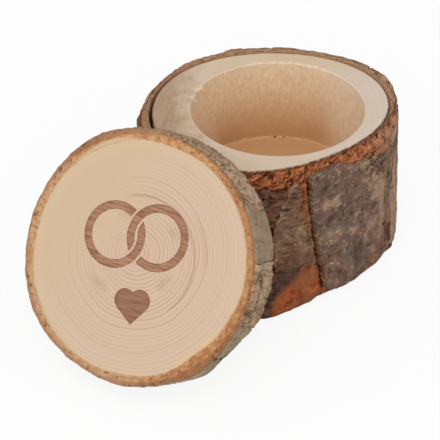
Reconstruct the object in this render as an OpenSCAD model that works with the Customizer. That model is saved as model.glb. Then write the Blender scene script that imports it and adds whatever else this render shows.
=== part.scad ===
// A ring box cut from a small log with its bark left on, and its loose lid.
// The box stands on z = 0 with its pocket opening upwards. The lid has been taken off:
// it stands on its edge in front of the box and leans back on the rim with its plug.

/* [Box] */
// radius of the bored pocket
pocket_r = 22.5; // [16:0.5:30]
// depth of the pocket
pocket_depth = 23.5; // [12:0.5:40]
// wood left under the pocket
floor_t = 18.5; // [6:0.5:30]
// mean wall of wood round the pocket
wall_t = 7.1; // [6:0.1:14]
// how far the pocket lies off the middle of the log, to the right
pocket_x = 2.6; // [0:0.1:3]
// how far the pocket lies off the middle of the log, to the back
pocket_y = 1.1; // [0:0.1:2]

/* [Log] */
// how far the log is longer one way than the other
log_oval = 1.9; // [0:0.1:2.5]
// direction of the long way of the log, in degrees
log_oval_turn = 28; // [0:1:90]
// how far three rounded corners stand out of the log
log_corners = 0.8; // [0:0.1:1.2]
// direction of the first rounded corner, in degrees
log_corners_turn = 13; // [0:1:120]
// how much fuller the log is at the back than in front
log_back = 0.9; // [0:0.1:1.2]

/* [Bark] */
// thickness of the soft orange bark next to the wood
inner_bark_t = 1.4; // [0.8:0.1:3]
// thickness of the grey outer scales on the box
scale_t = 1.2; // [0.6:0.1:3]
// extra thickness of the scales in front, taken off at the back
scale_front = 0.4; // [0:0.05:0.5]
// gap where the bark has lifted off the wood on the left
bark_lift = 1.0; // [0:0.1:1.5]
// direction in which the bark has lifted, in degrees
bark_lift_turn = 186; // [150:1:220]
// how far the scales stop below the rim
rim_drop = 2.0; // [0.5:0.1:5]
// how far the scales stop above the base
base_rise = 1.0; // [0.5:0.1:5]
// height of the swollen toe at the bottom of the front
toe_h = 11; // [5:0.5:14]
// how far the toe stands out past the scales
toe_swell = 1.2; // [0:0.1:3]

/* [Lid] */
// thickness of the lid
lid_t = 11.5; // [6:0.5:20]
// how far the wood of the lid is smaller than the wood of the box
lid_inset = 0.8; // [0:0.1:3]
// thickness of the grey scales round the lid
lid_scale_t = 0.8; // [0.5:0.1:2]
// how far the edge of the lid is out of round
lid_wave = 0.15; // [0:0.05:0.6]
// thickness of the plug under the lid
plug_t = 7; // [3:0.5:12]
// play between the plug and the wall of the pocket
plug_play = 0.3; // [0.1:0.05:1]

/* [Lid taken off] */
// lean of the lid from upright, in degrees
lid_lean = 33; // [15:0.5:45]
// direction the lid faces, in degrees from the front towards the left
lid_turn = 28; // [0:1:60]
// how far the lid stands to the left of the place where it would lean evenly
lid_shift = 4.2; // [0:0.1:10]
// turn of the lid about its own axis since it was lifted off, in degrees
lid_roll = 57; // [0:1:359]
// gap left between the plug and the rim it leans on
lean_gap = 0.2; // [0.1:0.05:0.5]

/* [Burnt ornament] */
// depth of the burnt lines
burn_depth = 0.3; // [0.1:0.05:1]
// outside diameter of each linked ring
ring_d = 16.5; // [10:0.5:18]
// distance between the middles of the linked rings
ring_pitch = 11.5; // [8:0.5:13]
// width of the burnt line of the rings
ring_line = 2.1; // [1:0.1:3]
// bare wood left where one ring passes over the other
ring_break = 0.6; // [0.3:0.1:1]
// width of the heart
heart_w = 9.6; // [6:0.2:12]
// turn of the ornament on the leaning lid, in degrees
ornament_turn = 10.5; // [-30:0.5:30]

/* [Hidden] */
// play of the grown joint between wood, inner bark and scales
bond = 0.05;
// corners used for one turn round the log
steps = 90;
// gap between neighbouring scales of the lid, in degrees
lid_crack = 1.6;
// direction in which the toe swells most, in degrees
toe_turn = -92;
// crack between the toe and the scales above it
toe_crack = 0.7;

box_h = pocket_depth + floor_t;
box_wood_r = pocket_r + wall_t;
lid_wood_r = box_wood_r - lid_inset;
plug_r = pocket_r - plug_play;

wood_face = [0.87, 0.77, 0.65];
wood_plug = [0.80, 0.68, 0.52];
bark_orange = [0.62, 0.36, 0.20];
bark_grey = [0.47, 0.42, 0.37];
bark_red = [0.42, 0.29, 0.22];

// Radii of the box in the direction a: its wood, the lift of the bark and the faces of the bark.
function box_wood_at(a) =
    box_wood_r
    + log_oval * cos(2 * (a - log_oval_turn))
    + log_corners * cos(3 * (a - log_corners_turn))
    + log_back * sin(a);
function lift_at(a) = bark_lift * pow(max(0, cos(a - bark_lift_turn)), 2);
function box_inner_in(a) = box_wood_at(a) + lift_at(a) + bond;
function box_inner_out(a) = box_inner_in(a) + inner_bark_t;
function box_scale_in(a) = box_inner_out(a) + bond;
function box_scale_out(a) = box_scale_in(a) + scale_t - scale_front * sin(a);
function box_toe_out(a) = box_scale_out(a) + toe_swell * cos(3 * (a - toe_turn));

// Radii of the lid in the direction a, as seen on the face of the leaning lid.
function lid_wood_at(a) = lid_wood_r + lid_wave * (cos(2 * (a + 41)) + 0.7 * cos(3 * (a - 9)));
function lid_inner_in(a) = lid_wood_at(a) + bond;
function lid_inner_out(a) = lid_inner_in(a) + inner_bark_t;
function lid_scale_in(a) = lid_inner_out(a) + bond;
function lid_scale_out(a) = lid_scale_in(a) + lid_scale_t;

// Place of the leaning lid: its edge is on the ground and its plug is against the rim.
lid_low = max([for (i = [0:359]) -lid_scale_out(i) * sin(i)]);
lid_z = lid_low * cos(lid_lean);
lid_faces = 270 - lid_turn;
rim_reach = max([for (i = [0:359]) box_inner_out(i) * cos(i - lid_faces)]);
scale_reach = max([for (i = [0:359]) box_scale_out(i) * cos(i - lid_faces)]);
lean_on = max(
    rim_reach * cos(lid_lean) + box_h * sin(lid_lean),
    scale_reach * cos(lid_lean) + (box_h - rim_drop) * sin(lid_lean)
);
lid_reach = (lean_on - lid_z * sin(lid_lean) + plug_t + lean_gap) / cos(lid_lean);

// Heights on the scales: 0 is their lower end and 1 their upper end.
scale_h = box_h - rim_drop - base_rise;
function scale_z(s) = base_rise + s * scale_h;
over_toe = (toe_h + toe_crack - base_rise) / scale_h;

// Cross sections of the log and of the slice for the lid.
module box_wood_section() {
    polygon([for (i = [0:steps - 1]) let (a = i * 360 / steps) box_wood_at(a) * [cos(a), sin(a)]]);
}

module box_inner_in_section() {
    polygon([for (i = [0:steps - 1]) let (a = i * 360 / steps) box_inner_in(a) * [cos(a), sin(a)]]);
}

module box_inner_out_section() {
    polygon([for (i = [0:steps - 1]) let (a = i * 360 / steps) box_inner_out(a) * [cos(a), sin(a)]]);
}

module box_scale_in_section() {
    polygon([for (i = [0:steps - 1]) let (a = i * 360 / steps) box_scale_in(a) * [cos(a), sin(a)]]);
}

module box_scale_out_section() {
    polygon([for (i = [0:steps - 1]) let (a = i * 360 / steps) box_scale_out(a) * [cos(a), sin(a)]]);
}

module box_toe_out_section() {
    polygon([for (i = [0:steps - 1]) let (a = i * 360 / steps) box_toe_out(a) * [cos(a), sin(a)]]);
}

module lid_wood_section() {
    polygon([for (i = [0:steps - 1]) let (a = i * 360 / steps) lid_wood_at(a) * [cos(a), sin(a)]]);
}

module lid_inner_in_section() {
    polygon([for (i = [0:steps - 1]) let (a = i * 360 / steps) lid_inner_in(a) * [cos(a), sin(a)]]);
}

module lid_inner_out_section() {
    polygon([for (i = [0:steps - 1]) let (a = i * 360 / steps) lid_inner_out(a) * [cos(a), sin(a)]]);
}

module lid_scale_in_section() {
    polygon([for (i = [0:steps - 1]) let (a = i * 360 / steps) lid_scale_in(a) * [cos(a), sin(a)]]);
}

module lid_scale_out_section() {
    polygon([for (i = [0:steps - 1]) let (a = i * 360 / steps) lid_scale_out(a) * [cos(a), sin(a)]]);
}

// A cutter that looks at the log from the direction middle and cuts out one outline.
// Each corner of the outline is an angle from the middle, true on the inside of a scale, and a height.
module outline_cutter(middle, corners) {
    rotate([0, 0, middle])
        rotate([90, 0, 90])
            linear_extrude(2 * box_wood_r)
                polygon([for (c = corners) [box_scale_in(middle + c[0]) * sin(c[0]), c[1]]]);
}

// One grey scale on the side of the box, with corners given as angle and share of the height.
module box_scale(middle, corners) {
    intersection() {
        linear_extrude(box_h)
            difference() {
                box_scale_out_section();
                box_scale_in_section();
            }
        outline_cutter(middle, [for (c = corners) [c[0], scale_z(c[1])]]);
    }
}

// One grey scale on the edge of the lid, from the angle first to the angle last.
// Its two ends slant by the angles slant_first and slant_last from the back to the face.
module lid_scale(first, last, slant_first, slant_last) {
    middle = (first + last) / 2;
    half = (last - first - lid_crack) / 2;
    lid_lie()
        intersection() {
            linear_extrude(lid_t)
                difference() {
                    lid_scale_out_section();
                    lid_scale_in_section();
                }
            rotate([0, 0, middle])
                rotate([90, 0, 90])
                    linear_extrude(2 * lid_wood_r)
                        polygon([
                            [lid_scale_out(middle) * sin(-half - slant_first), 0],
                            [lid_scale_out(middle) * sin(half - slant_last), 0],
                            [lid_scale_out(middle) * sin(half + 0.3 * slant_last), lid_t * 0.55],
                            [lid_scale_out(middle) * sin(half + slant_last), lid_t],
                            [lid_scale_out(middle) * sin(-half + slant_first), lid_t],
                            [lid_scale_out(middle) * sin(-half - 0.2 * slant_first), lid_t * 0.4]
                        ]);
        }
}

// Puts a piece of the lid, drawn with its underside on z = 0, where the lid leans.
module lid_lie() {
    rotate([0, 0, -lid_turn])
        translate([-lid_shift, -lid_reach, lid_z])
            rotate([90 - lid_lean, 0, 0])
                children();
}

// Ornament burnt into the face of the lid: two linked rings above a plain heart.
module ring_line_round(x, line) {
    translate([x, 0])
        difference() {
            circle(d = ring_d + line - ring_line, $fn = 64);
            circle(d = ring_d - line - ring_line, $fn = 64);
        }
}

module linked_rings() {
    // each ring is broken where the other one passes over it
    difference() {
        ring_line_round(-ring_pitch / 2, ring_line);
        intersection() {
            ring_line_round(ring_pitch / 2, ring_line + 2 * ring_break);
            translate([-ring_d, 0])
                square([2 * ring_d, ring_d]);
        }
    }
    difference() {
        ring_line_round(ring_pitch / 2, ring_line);
        intersection() {
            ring_line_round(-ring_pitch / 2, ring_line + 2 * ring_break);
            translate([-ring_d, -ring_d])
                square([2 * ring_d, ring_d]);
        }
    }
}

module heart() {
    // a square on its corner with a round lobe on each of its upper sides
    side = heart_w / (1 + 1 / sqrt(2));
    rotate([0, 0, 45]) {
        square(side);
        translate([side, side / 2])
            circle(d = side, $fn = 48);
        translate([side / 2, side])
            circle(d = side, $fn = 48);
    }
}

module ornament() {
    rotate([0, 0, ornament_turn]) {
        translate([-0.9, 5.2])
            linked_rings();
        translate([-0.4, -6.8 - heart_w])
            heart();
    }
}

// Body of the box: a length of the log with a flat-bottomed pocket bored into its end.
module box_wood() {
    color(wood_face)
        difference() {
            linear_extrude(box_h)
                box_wood_section();
            translate([pocket_x, pocket_y, floor_t])
                cylinder(r = pocket_r, h = pocket_depth + 1, $fn = 96);
        }
}

// Soft orange bark round the box, lifted off the wood on the left.
module box_inner_bark() {
    color(bark_orange)
        translate([0, 0, bond])
            linear_extrude(box_h - 2 * bond)
                difference() {
                    box_inner_out_section();
                    box_inner_in_section();
                }
}

// Grey scales of the outer bark, from the front round to the right.
module box_bark_front_right() {
    color(bark_grey)
        box_scale(-40, [
            [-30.5, 0.99], [-29, 0.76], [-26, 0.53], [-22.5, 0.30], [-18.5, 0.12], [-16, 0.08],
            [-6, 0.06], [8, 0.04], [20, 0.08], [26, 0.15], [25, 0.36], [26.5, 0.62], [24, 0.80],
            [20, 0.93], [9, 0.99], [-5, 1], [-16, 1.02]
        ]);
}

module box_bark_front_tongue() {
    color(bark_grey)
        box_scale(-77, [
            [-0.5, 0.98], [-3.5, 0.93], [-6.5, 0.82], [-9.5, 0.70], [-11, 0.55],
            [-10.5, over_toe + 0.04], [-5, over_toe + 0.02], [3, over_toe], [9.5, over_toe],
            [9, over_toe + 0.12], [6.5, 0.54], [3.2, 0.73], [2.6, 0.92]
        ]);
}

module box_bark_front_wedge() {
    color(bark_red)
        box_scale(-90, [
            [-6.5, 0.99], [-6, 0.80], [-4, 0.66], [0, 0.64], [3, 0.76], [7, 0.90], [9.5, 0.99]
        ]);
}

module box_bark_left_front() {
    color(bark_red)
        box_scale(-114, [
            [-15, 0.98], [-16, 0.60], [-14, 0.25], [-15, 0.03], [0, 0], [14, 0.03],
            [14.5, over_toe], [22.5, over_toe], [23.5, over_toe + 0.12], [23, 0.58], [17.5, 0.64],
            [15.8, 0.80], [15.5, 0.98], [0, 1], [-8, 1]
        ]);
}

module box_bark_left() {
    color(bark_grey)
        box_scale(-152, [
            [-21, 0.98], [-20, 0.55], [-22, 0.20], [-21, 0.02], [0, 0.05], [20, 0.01], [21.5, 0.25],
            [19.5, 0.60], [20.5, 0.97], [8, 1], [-8, 0.99]
        ]);
}

module box_bark_left_back() {
    color(bark_grey)
        box_scale(162, [
            [-23, 1.03], [-22, 0.66], [-24, 0.30], [-23, 0.04], [-4, 0], [12, 0.05], [22, 0.02],
            [21.5, 0.22], [23.5, 0.56], [22.5, 1.02], [6, 1.045]
        ]);
}

module box_bark_back() {
    color(bark_grey)
        box_scale(112, [
            [-24, 1.03], [-25, 0.70], [-23, 0.38], [-24.5, 0.03], [0, 0.04], [24, 0], [24.5, 0.30],
            [26.5, 0.66], [25.5, 1.04], [10, 1.03], [-6, 1.045]
        ]);
}

module box_bark_right_back() {
    color(bark_grey)
        box_scale(62, [
            [-23, 1.04], [-24, 0.62], [-22, 0.28], [-23.5, 0.02], [-2, 0.05], [24, 0.01], [25.5, 0.38],
            [23.5, 0.70], [24.5, 1.04], [6, 1.035]
        ]);
}

module box_bark_right() {
    color(bark_grey)
        box_scale(13, [
            [-24, 0.95], [-25.2, 0.80], [-24, 0.62], [-26, 0.36], [-25, 0.12], [-20, 0.03], [0, 0.06],
            [24, 0.02], [25.5, 0.28], [23.5, 0.62], [24.5, 1.03], [8, 1.045], [-8, 1]
        ]);
}

// Broken lump of orange bark that swells at the bottom of the front.
module box_bark_toe() {
    color(bark_orange)
        intersection() {
            translate([0, 0, bond])
                linear_extrude(box_h)
                    difference() {
                        box_toe_out_section();
                        box_scale_in_section();
                    }
            outline_cutter(-80, [
                [-17.5, 0], [-17, 0.5 * toe_h], [-17.5, 0.9 * toe_h], [-8, toe_h], [6, 0.93 * toe_h],
                [12.5, 0.95 * toe_h], [15, 0.6 * toe_h], [17.5, 0.35 * toe_h], [19.5, 0]
            ]);
        }
}

// Slice of wood for the lid, with the ornament burnt into its face.
module lid_wood() {
    color(wood_face)
        lid_lie()
            difference() {
                linear_extrude(lid_t)
                    lid_wood_section();
                translate([0, 0, lid_t - burn_depth])
                    linear_extrude(burn_depth + 1)
                        ornament();
            }
}

// Round plug glued under the lid, off its middle as the pocket is off the middle of the box.
module lid_plug() {
    color(wood_plug)
        lid_lie()
            rotate([0, 0, lid_roll])
                translate([pocket_x, pocket_y, -plug_t])
                    cylinder(r = plug_r, h = plug_t, $fn = 96);
}

// Soft orange bark round the lid.
module lid_inner_bark() {
    color(bark_orange)
        lid_lie()
            linear_extrude(lid_t)
                difference() {
                    lid_inner_out_section();
                    lid_inner_in_section();
                }
}

// Grey scales on the edge of the lid, from the right round by the top.
module lid_bark_right() {
    color(bark_grey) lid_scale(-16.5, 14, 1, -1);
}

module lid_bark_right_upper() {
    color(bark_grey) lid_scale(14, 39, -1, 1.5);
}

module lid_bark_top_right() {
    color(bark_grey) lid_scale(39, 63, 1.5, -1);
}

module lid_bark_top() {
    color(bark_grey) lid_scale(63, 98, -1, 2);
}

module lid_bark_top_left() {
    color(bark_grey) lid_scale(98, 136, 2, -1.5);
}

module lid_bark_left_upper() {
    color(bark_grey) lid_scale(136, 178, -1.5, 1);
}

module lid_bark_left_lower() {
    color(bark_grey) lid_scale(178, 222, 1, -1);
}

module lid_bark_bottom_left() {
    color(bark_grey) lid_scale(222, 257, -1, 1.5);
}

module lid_bark_bottom() {
    color(bark_grey) lid_scale(257, 301, 1.5, -1.5);
}

module lid_bark_bottom_right() {
    color(bark_grey) lid_scale(301, 343.5, -1.5, 1);
}

box_wood();
box_inner_bark();
box_bark_front_right();
box_bark_front_tongue();
box_bark_front_wedge();
box_bark_toe();
box_bark_left_front();
box_bark_left();
box_bark_left_back();
box_bark_back();
box_bark_right_back();
box_bark_right();
lid_wood();
lid_plug();
lid_inner_bark();
lid_bark_top();
lid_bark_top_left();
lid_bark_left_upper();
lid_bark_left_lower();
lid_bark_bottom_left();
lid_bark_bottom();
lid_bark_bottom_right();
lid_bark_right();
lid_bark_right_upper();
lid_bark_top_right();
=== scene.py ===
import math

import bmesh
import bpy
from mathutils import Matrix, Vector, noise


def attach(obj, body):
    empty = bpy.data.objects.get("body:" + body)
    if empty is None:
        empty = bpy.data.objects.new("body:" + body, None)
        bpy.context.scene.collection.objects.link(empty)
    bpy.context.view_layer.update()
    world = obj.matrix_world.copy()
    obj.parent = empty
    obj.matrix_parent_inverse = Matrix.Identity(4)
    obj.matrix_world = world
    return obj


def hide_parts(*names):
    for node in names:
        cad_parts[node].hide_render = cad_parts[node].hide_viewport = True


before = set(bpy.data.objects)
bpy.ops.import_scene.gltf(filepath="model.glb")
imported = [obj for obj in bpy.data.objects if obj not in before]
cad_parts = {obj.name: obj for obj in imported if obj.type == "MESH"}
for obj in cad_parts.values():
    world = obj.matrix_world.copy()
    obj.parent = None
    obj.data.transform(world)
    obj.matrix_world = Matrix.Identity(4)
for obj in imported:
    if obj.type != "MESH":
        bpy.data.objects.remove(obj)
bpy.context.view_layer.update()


# Studio: a white table top, soft light from all round with a little more from above in front,
# and a long lens at the height and angle from which such a box is photographed.
scene = bpy.context.scene
scene.view_settings.view_transform = "Standard"


def put(tree, kind, feeds=None, **options):
    """Adds a node, sets its options, and feeds its inputs with values or with other nodes' sockets."""
    node = tree.nodes.new(kind)
    for name, value in options.items():
        setattr(node, name, value)
    for name, value in (feeds or {}).items():
        if isinstance(value, bpy.types.NodeSocket):
            tree.links.new(value, node.inputs[name])
        else:
            node.inputs[name].default_value = value
    return node


def calc(tree, operation, *values):
    return put(tree, "ShaderNodeMath", dict(enumerate(values)), operation=operation).outputs[0]


def times(tree, first, second):
    return calc(tree, "MULTIPLY", first, second)


def new_material(name):
    """An empty node material and its output node."""
    material = bpy.data.materials.new(name)
    material.use_nodes = True
    material.node_tree.nodes.clear()
    return material, material.node_tree, put(material.node_tree, "ShaderNodeOutputMaterial")


table_half = 3.0
table_below = 0.0001
table_white_share = 0.88
table_top = bmesh.new()
bmesh.ops.create_grid(table_top, x_segments=1, y_segments=1, size=table_half)
bmesh.ops.translate(table_top, vec=(0, 0, -table_below), verts=table_top.verts)
table_mesh = bpy.data.meshes.new("table_top")
table_top.to_mesh(table_mesh)
table_top.free()
table = bpy.data.objects.new("table_top", table_mesh)
scene.collection.objects.link(table)

table_white, tree, output = new_material("table_white")
ray = put(tree, "ShaderNodeLightPath")
seen = calc(tree, "MAXIMUM", ray.outputs["Is Camera Ray"], ray.outputs["Is Glossy Ray"])
seen = calc(tree, "MAXIMUM", seen, ray.outputs["Is Transmission Ray"])
share = times(tree, seen, table_white_share)
paint = put(tree, "ShaderNodeBsdfDiffuse", {"Color": (0.97, 0.97, 0.97, 1.0)})
glow = put(tree, "ShaderNodeEmission", {"Color": (1.0, 1.0, 1.0, 1.0), "Strength": 1.0})
both = put(tree, "ShaderNodeMixShader", {0: share, 1: paint.outputs[0], 2: glow.outputs[0]})
tree.links.new(both.outputs[0], output.inputs["Surface"])
table_mesh.materials.append(table_white)

room_light = 0.64
world = bpy.data.worlds.new("soft_room")
scene.world = world
world.use_nodes = True
tree = world.node_tree
tree.nodes.clear()
ray = put(tree, "ShaderNodeLightPath")
dim = put(tree, "ShaderNodeBackground", {"Color": (1.0, 1.0, 1.0, 1.0), "Strength": room_light})
white = put(tree, "ShaderNodeBackground", {"Color": (1.0, 1.0, 1.0, 1.0), "Strength": 1.0})
both = put(tree, "ShaderNodeMixShader",
           {0: ray.outputs["Is Camera Ray"], 1: dim.outputs[0], 2: white.outputs[0]})
put(tree, "ShaderNodeOutputWorld", {"Surface": both.outputs[0]})

lamp_place = Vector((-0.12, -1.02, 1.06))
lamp = bpy.data.lights.new("soft_box", "AREA")
lamp.shape = "SQUARE"
lamp.size = 1.2
lamp.energy = 9.4
lamp_stand = bpy.data.objects.new("soft_box", lamp)
lamp_stand.location = lamp_place
lamp_stand.rotation_euler = (-lamp_place).to_track_quat("-Z", "Y").to_euler()
scene.collection.objects.link(lamp_stand)

picture_side = 440
lens_in_pixels = 2400
view_height = math.radians(34.85)
view_distance = 0.6403
view_target = Vector((-0.01231, 0.00112, 0.00667))
camera = bpy.data.cameras.new("long_lens")
camera.sensor_width = 36
camera.lens = camera.sensor_width * lens_in_pixels / picture_side
camera.clip_start = 0.01
camera.clip_end = 20
tripod = bpy.data.objects.new("long_lens", camera)
tripod.location = view_target + view_distance * Vector((0, -math.cos(view_height), math.sin(view_height)))
tripod.rotation_euler = (math.pi / 2 - view_height, 0, 0)
scene.collection.objects.link(tripod)
scene.camera = tripod


# Wood of the box: a short length of a small log, sawn flat at both ends. A round pocket is bored
# into the upper end, off the middle of the log, and leaves pale torn fibres along its edge. Light and
# shade are painted on the pocket wall, and the outer edge of the wood is painted dark as the shade
# of the gap next to the bark.
box_height = 42.0
pocket_floor = 18.5
pocket_radius = 22.5
pocket_middle = Vector((2.6, 1.1, 0.0))
wood_shrink = 0.14
wood_corners = 288
millimetre = 0.001


def cosine(turn):
    return math.cos(math.radians(turn))


def sine(turn):
    return math.sin(math.radians(turn))


def step(value, low, high):
    """0 below low, 1 above high and a smooth change between them; low may be the larger."""
    share = min(1.0, max(0.0, (value - low) / (high - low)))
    return share * share * (3 - 2 * share)


def within(value, begins, full_from, full_to, ends):
    """1 between the two middle values and a smooth change to 0 at the outer ones."""
    return step(value, begins, full_from) * step(value, ends, full_to)


def log_radius(turn):
    """Radius of the log under its bark in the direction turn, in degrees and millimetres."""
    return 29.6 + 1.9 * cosine(2 * (turn - 28)) + 0.8 * cosine(3 * (turn - 13)) + 0.9 * sine(turn)


def pocket_reach(turn):
    """Distance from the middle of the log to the wall of the pocket in the direction turn."""
    along = pocket_middle.x * cosine(turn) + pocket_middle.y * sine(turn)
    return along + math.sqrt(pocket_radius ** 2 - pocket_middle.length_squared + along ** 2)


def spot(reach, turn, height):
    return Vector((reach * cosine(turn), reach * sine(turn), height))


def turn_of(place):
    return math.degrees(math.atan2(place.y, place.x))


def first_ring(corners, reach, height, gather=0.0, towards=0.0):
    """A bmesh with one ring of edges, gathered by so many degrees towards one side, and those edges."""
    bm = bmesh.new()
    bmesh.ops.create_circle(bm, cap_ends=False, radius=1.0, segments=corners)
    for corner in bm.verts:
        turn = turn_of(corner.co)
        turn -= gather * sine(turn - towards)
        corner.co = spot(reach(turn), turn, height)
    return bm, bm.edges[:]


def points(made):
    return [part for part in made if isinstance(part, bmesh.types.BMVert)]


def outer_ring(made):
    return [part for part in made if isinstance(part, bmesh.types.BMEdge) and part.is_boundary]


def next_ring(bm, edges, reach, height):
    """Extrudes a ring of edges to a new reach and height, and gives the new ring."""
    made = bmesh.ops.extrude_edge_only(bm, edges=edges)["geom"]
    for corner in points(made):
        turn = turn_of(corner.co)
        corner.co = spot(reach(turn), turn, height)
    return outer_ring(made)


def close_ring(bm, edges):
    bmesh.ops.contextual_create(bm, geom=edges)


def bring_in(bm, name, material):
    """Makes a shaded piece, with its faces outward, from a mesh drawn in millimetres."""
    bmesh.ops.recalc_face_normals(bm, faces=bm.faces)
    if bm.calc_volume(signed=True) < 0:
        bmesh.ops.reverse_faces(bm, faces=bm.faces)
    bmesh.ops.scale(bm, vec=[millimetre] * 3, verts=bm.verts)
    for face in bm.faces:
        face.smooth = True
    mesh = bpy.data.meshes.new(name)
    bm.to_mesh(mesh)
    bm.free()
    mesh.materials.append(material)
    piece = bpy.data.objects.new(name, mesh)
    scene.collection.objects.link(piece)
    return piece


def wood_edge(inset):
    return lambda turn: log_radius(turn) - wood_shrink - inset


def pocket_wall(outset):
    return lambda turn: pocket_reach(turn) + outset


def rim_between(share):
    outer, inner = wood_edge(0.8), pocket_wall(0.6)
    return lambda turn: (1 - share) * outer(turn) + share * inner(turn)


wood, ring = first_ring(wood_corners, wood_edge(1.2), 0.0)
close_ring(wood, ring)
for inset, height in [(0.5, 0.12), (0.1, 0.6), (0.0, 1.4), (0.0, 14.0), (0.0, 28.0), (0.0, 41.0),
                      (0.05, 41.6), (0.2, 41.9), (0.45, 41.99), (0.8, 42.0)]:
    ring = next_ring(wood, ring, wood_edge(inset), height)
rim_rings = 9
for number in range(1, rim_rings):
    ring = next_ring(wood, ring, rim_between(number / rim_rings), box_height)
for outset, height in [(0.6, 42.0), (0.35, 41.99), (0.14, 41.93), (0.04, 41.8), (0.0, 41.55)]:
    ring = next_ring(wood, ring, pocket_wall(outset), height)
wall_rows = 44
wall_top, wall_bottom = 41.55, 18.95
for number in range(1, wall_rows + 1):
    ring = next_ring(wood, ring, pocket_wall(0.0), wall_top + (wall_bottom - wall_top) * number / wall_rows)
for outset, height in [(-0.06, 18.68), (-0.2, 18.54), (-0.5, 18.5)]:
    ring = next_ring(wood, ring, pocket_wall(outset), height)
floor_rings = 14
for number in range(1, floor_rings):
    made = bmesh.ops.extrude_edge_only(wood, edges=ring)["geom"]
    shrink = (floor_rings - number) / (floor_rings - number + 1)
    for corner in points(made):
        corner.co.xy = pocket_middle.xy + (corner.co.xy - pocket_middle.xy) * shrink
    ring = outer_ring(made)
close_ring(wood, ring)


def new_layers(bm, *names):
    """Named values that the points of a mesh carry."""
    return [bm.verts.layers.float.new(name) for name in names]


gap_shade, bored, torn, rounded, inner_corner = new_layers(wood, "gap_shade", "bored", "torn", "rounded",
                                                      "inner_corner")
for corner in wood.verts:
    turn = turn_of(corner.co)
    from_edge = log_radius(turn) - wood_shrink - corner.co.xy.length
    from_pocket = (corner.co.xy - pocket_middle.xy).length - pocket_radius
    around = turn_of(corner.co - pocket_middle)
    # Painted shade: the wood's outer edge next to the bark is dark like the gap between them.
    corner[gap_shade] = step(from_edge, 0.42, 0.05)
    corner[bored] = step(from_pocket, 0.2, 0.0) * step(corner.co.z, 42.0, 41.2)
    corner[rounded] = step(abs(from_pocket - 0.1), 0.4, 0.1) * step(corner.co.z, 41.3, 41.7)
    corner[inner_corner] = step(abs(from_pocket + 0.15), 0.6, 0.1) * step(corner.co.z, 19.6, 18.8)
    if corner.co.z > 38 and abs(from_pocket) < 0.7:
        ragged = noise.noise((around * 0.8, 3.1, 0.7))
        ragged += 0.6 * noise.noise((around * 2.3, 0.4, 5.2))
        back_lip = within(around, 35, 55, 95, 125)
        left_tear = step(abs(around - 160), 10, 4)
        lip = back_lip * max(0.0, 0.3 + ragged) + left_tear * max(0.0, 0.6 + 1.6 * ragged)
        near_edge = step(corner.co.z, 40.2, 41.6)
        corner[torn] = min(1.0, lip * step(corner.co.z, 38.6, 41.0))
        lift = 0.16 * lip * near_edge
        corner.co.z += 0.5 * lift
        corner.co.xy -= (corner.co.xy - pocket_middle.xy).normalized() * lift
    if corner.co.z > 41.9:
        corner.co.z += 0.02 * noise.noise((corner.co.x * 0.35, corner.co.y * 0.1, 0.0))

splinter_count = 36
splinter_sides = 5
splinter_foot, splinter_tip = 0.2, 0.05
for number in range(splinter_count):
    chance = [0.5 + 0.5 * noise.cell((number + 0.5, 3.5 * part + 0.5, 0.5)) for part in range(5)]
    on_left = number < splinter_count / 3
    around = 150 + 20 * chance[0] if on_left else 40 + 95 * chance[0]
    inward = -spot(1.0, around, 0.0)
    along = spot(1.0, around + 90, 0.0)
    aim = inward * (0.6 + 0.4 * chance[1]) + along * 3.0 * (chance[2] - 0.5)
    aim += Vector((0, 0, 0.3 - 1.1 * chance[3]))
    long = (0.6 + 1.6 * chance[4] ** 2) * (1.2 if on_left else 0.6)
    foot = pocket_middle + spot(pocket_radius + 0.12, around, 41.8)
    tilt = aim.to_track_quat("Z", "X").to_matrix().to_4x4()
    lying = Matrix.Translation(foot + aim.normalized() * 0.45 * long) @ tilt
    made = bmesh.ops.create_cone(wood, cap_ends=True, segments=splinter_sides, radius1=splinter_foot,
                                 radius2=splinter_tip, depth=long, matrix=lying)
    for corner in made["verts"]:
        corner[torn] = 1.0


def srgb(red, green, blue):
    """A colour on the 0 to 255 scale of a screen, as the linear colour that a shader takes."""
    parts = [value / 255 for value in (red, green, blue)]
    return (*[part / 12.92 if part <= 0.04045 else ((part + 0.055) / 1.055) ** 2.4 for part in parts], 1.0)


def vector_calc(tree, operation, first, second=None, gives=0):
    feeds = {0: first} if second is None else {0: first, 1: second}
    return put(tree, "ShaderNodeVectorMath", feeds, operation=operation).outputs[gives]


def distance_across(tree, place):
    """Distance of a place from the vertical axis."""
    return vector_calc(tree, "LENGTH", vector_calc(tree, "MULTIPLY", place, (1.0, 1.0, 0.0)), gives="Value")


def blend(tree, share, first, second):
    return put(tree, "ShaderNodeMix", {0: share, 6: first, 7: second}, data_type="RGBA").outputs[2]


def two_tone(tree, value, low, high, first, second):
    """One tone where value is low and another where it is high, both on the scale of a screen."""
    return blend(tree, between(tree, value, low, high), srgb(*first), srgb(*second))


def coated(tree, colour, coats):
    """A colour with coats over it, each with its share and its tone on the scale of a screen."""
    for share, tone in coats:
        colour = blend(tree, share, colour, srgb(*tone))
    return colour


def between(tree, value, low, high, to_low=0.0, to_high=1.0):
    """Smooth change from to_low to to_high while value goes from low to high."""
    return put(tree, "ShaderNodeMapRange",
               {"Value": value, "From Min": low, "From Max": high, "To Min": to_low, "To Max": to_high},
               interpolation_type="SMOOTHSTEP").outputs["Result"]


def window(tree, value, rise, fall):
    """1 while value is past one soft border and before another; for each, where it begins and is full."""
    return times(tree, between(tree, value, *rise), between(tree, value, *fall))


def cloud(tree, place, size, detail=3.0, roughness=0.5, twist=0.0):
    """Soft noise whose lumps are about size millimetres across."""
    return put(tree, "ShaderNodeTexNoise",
               {"Vector": place, "Scale": 1.0 / size, "Detail": detail, "Roughness": roughness,
                "Distortion": twist}).outputs["Fac"]


def stretched(tree, place, along):
    """The same place with each axis divided by its own length, so that noise on it is drawn out."""
    return vector_calc(tree, "MULTIPLY", place, tuple(1.0 / length for length in along))


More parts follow.
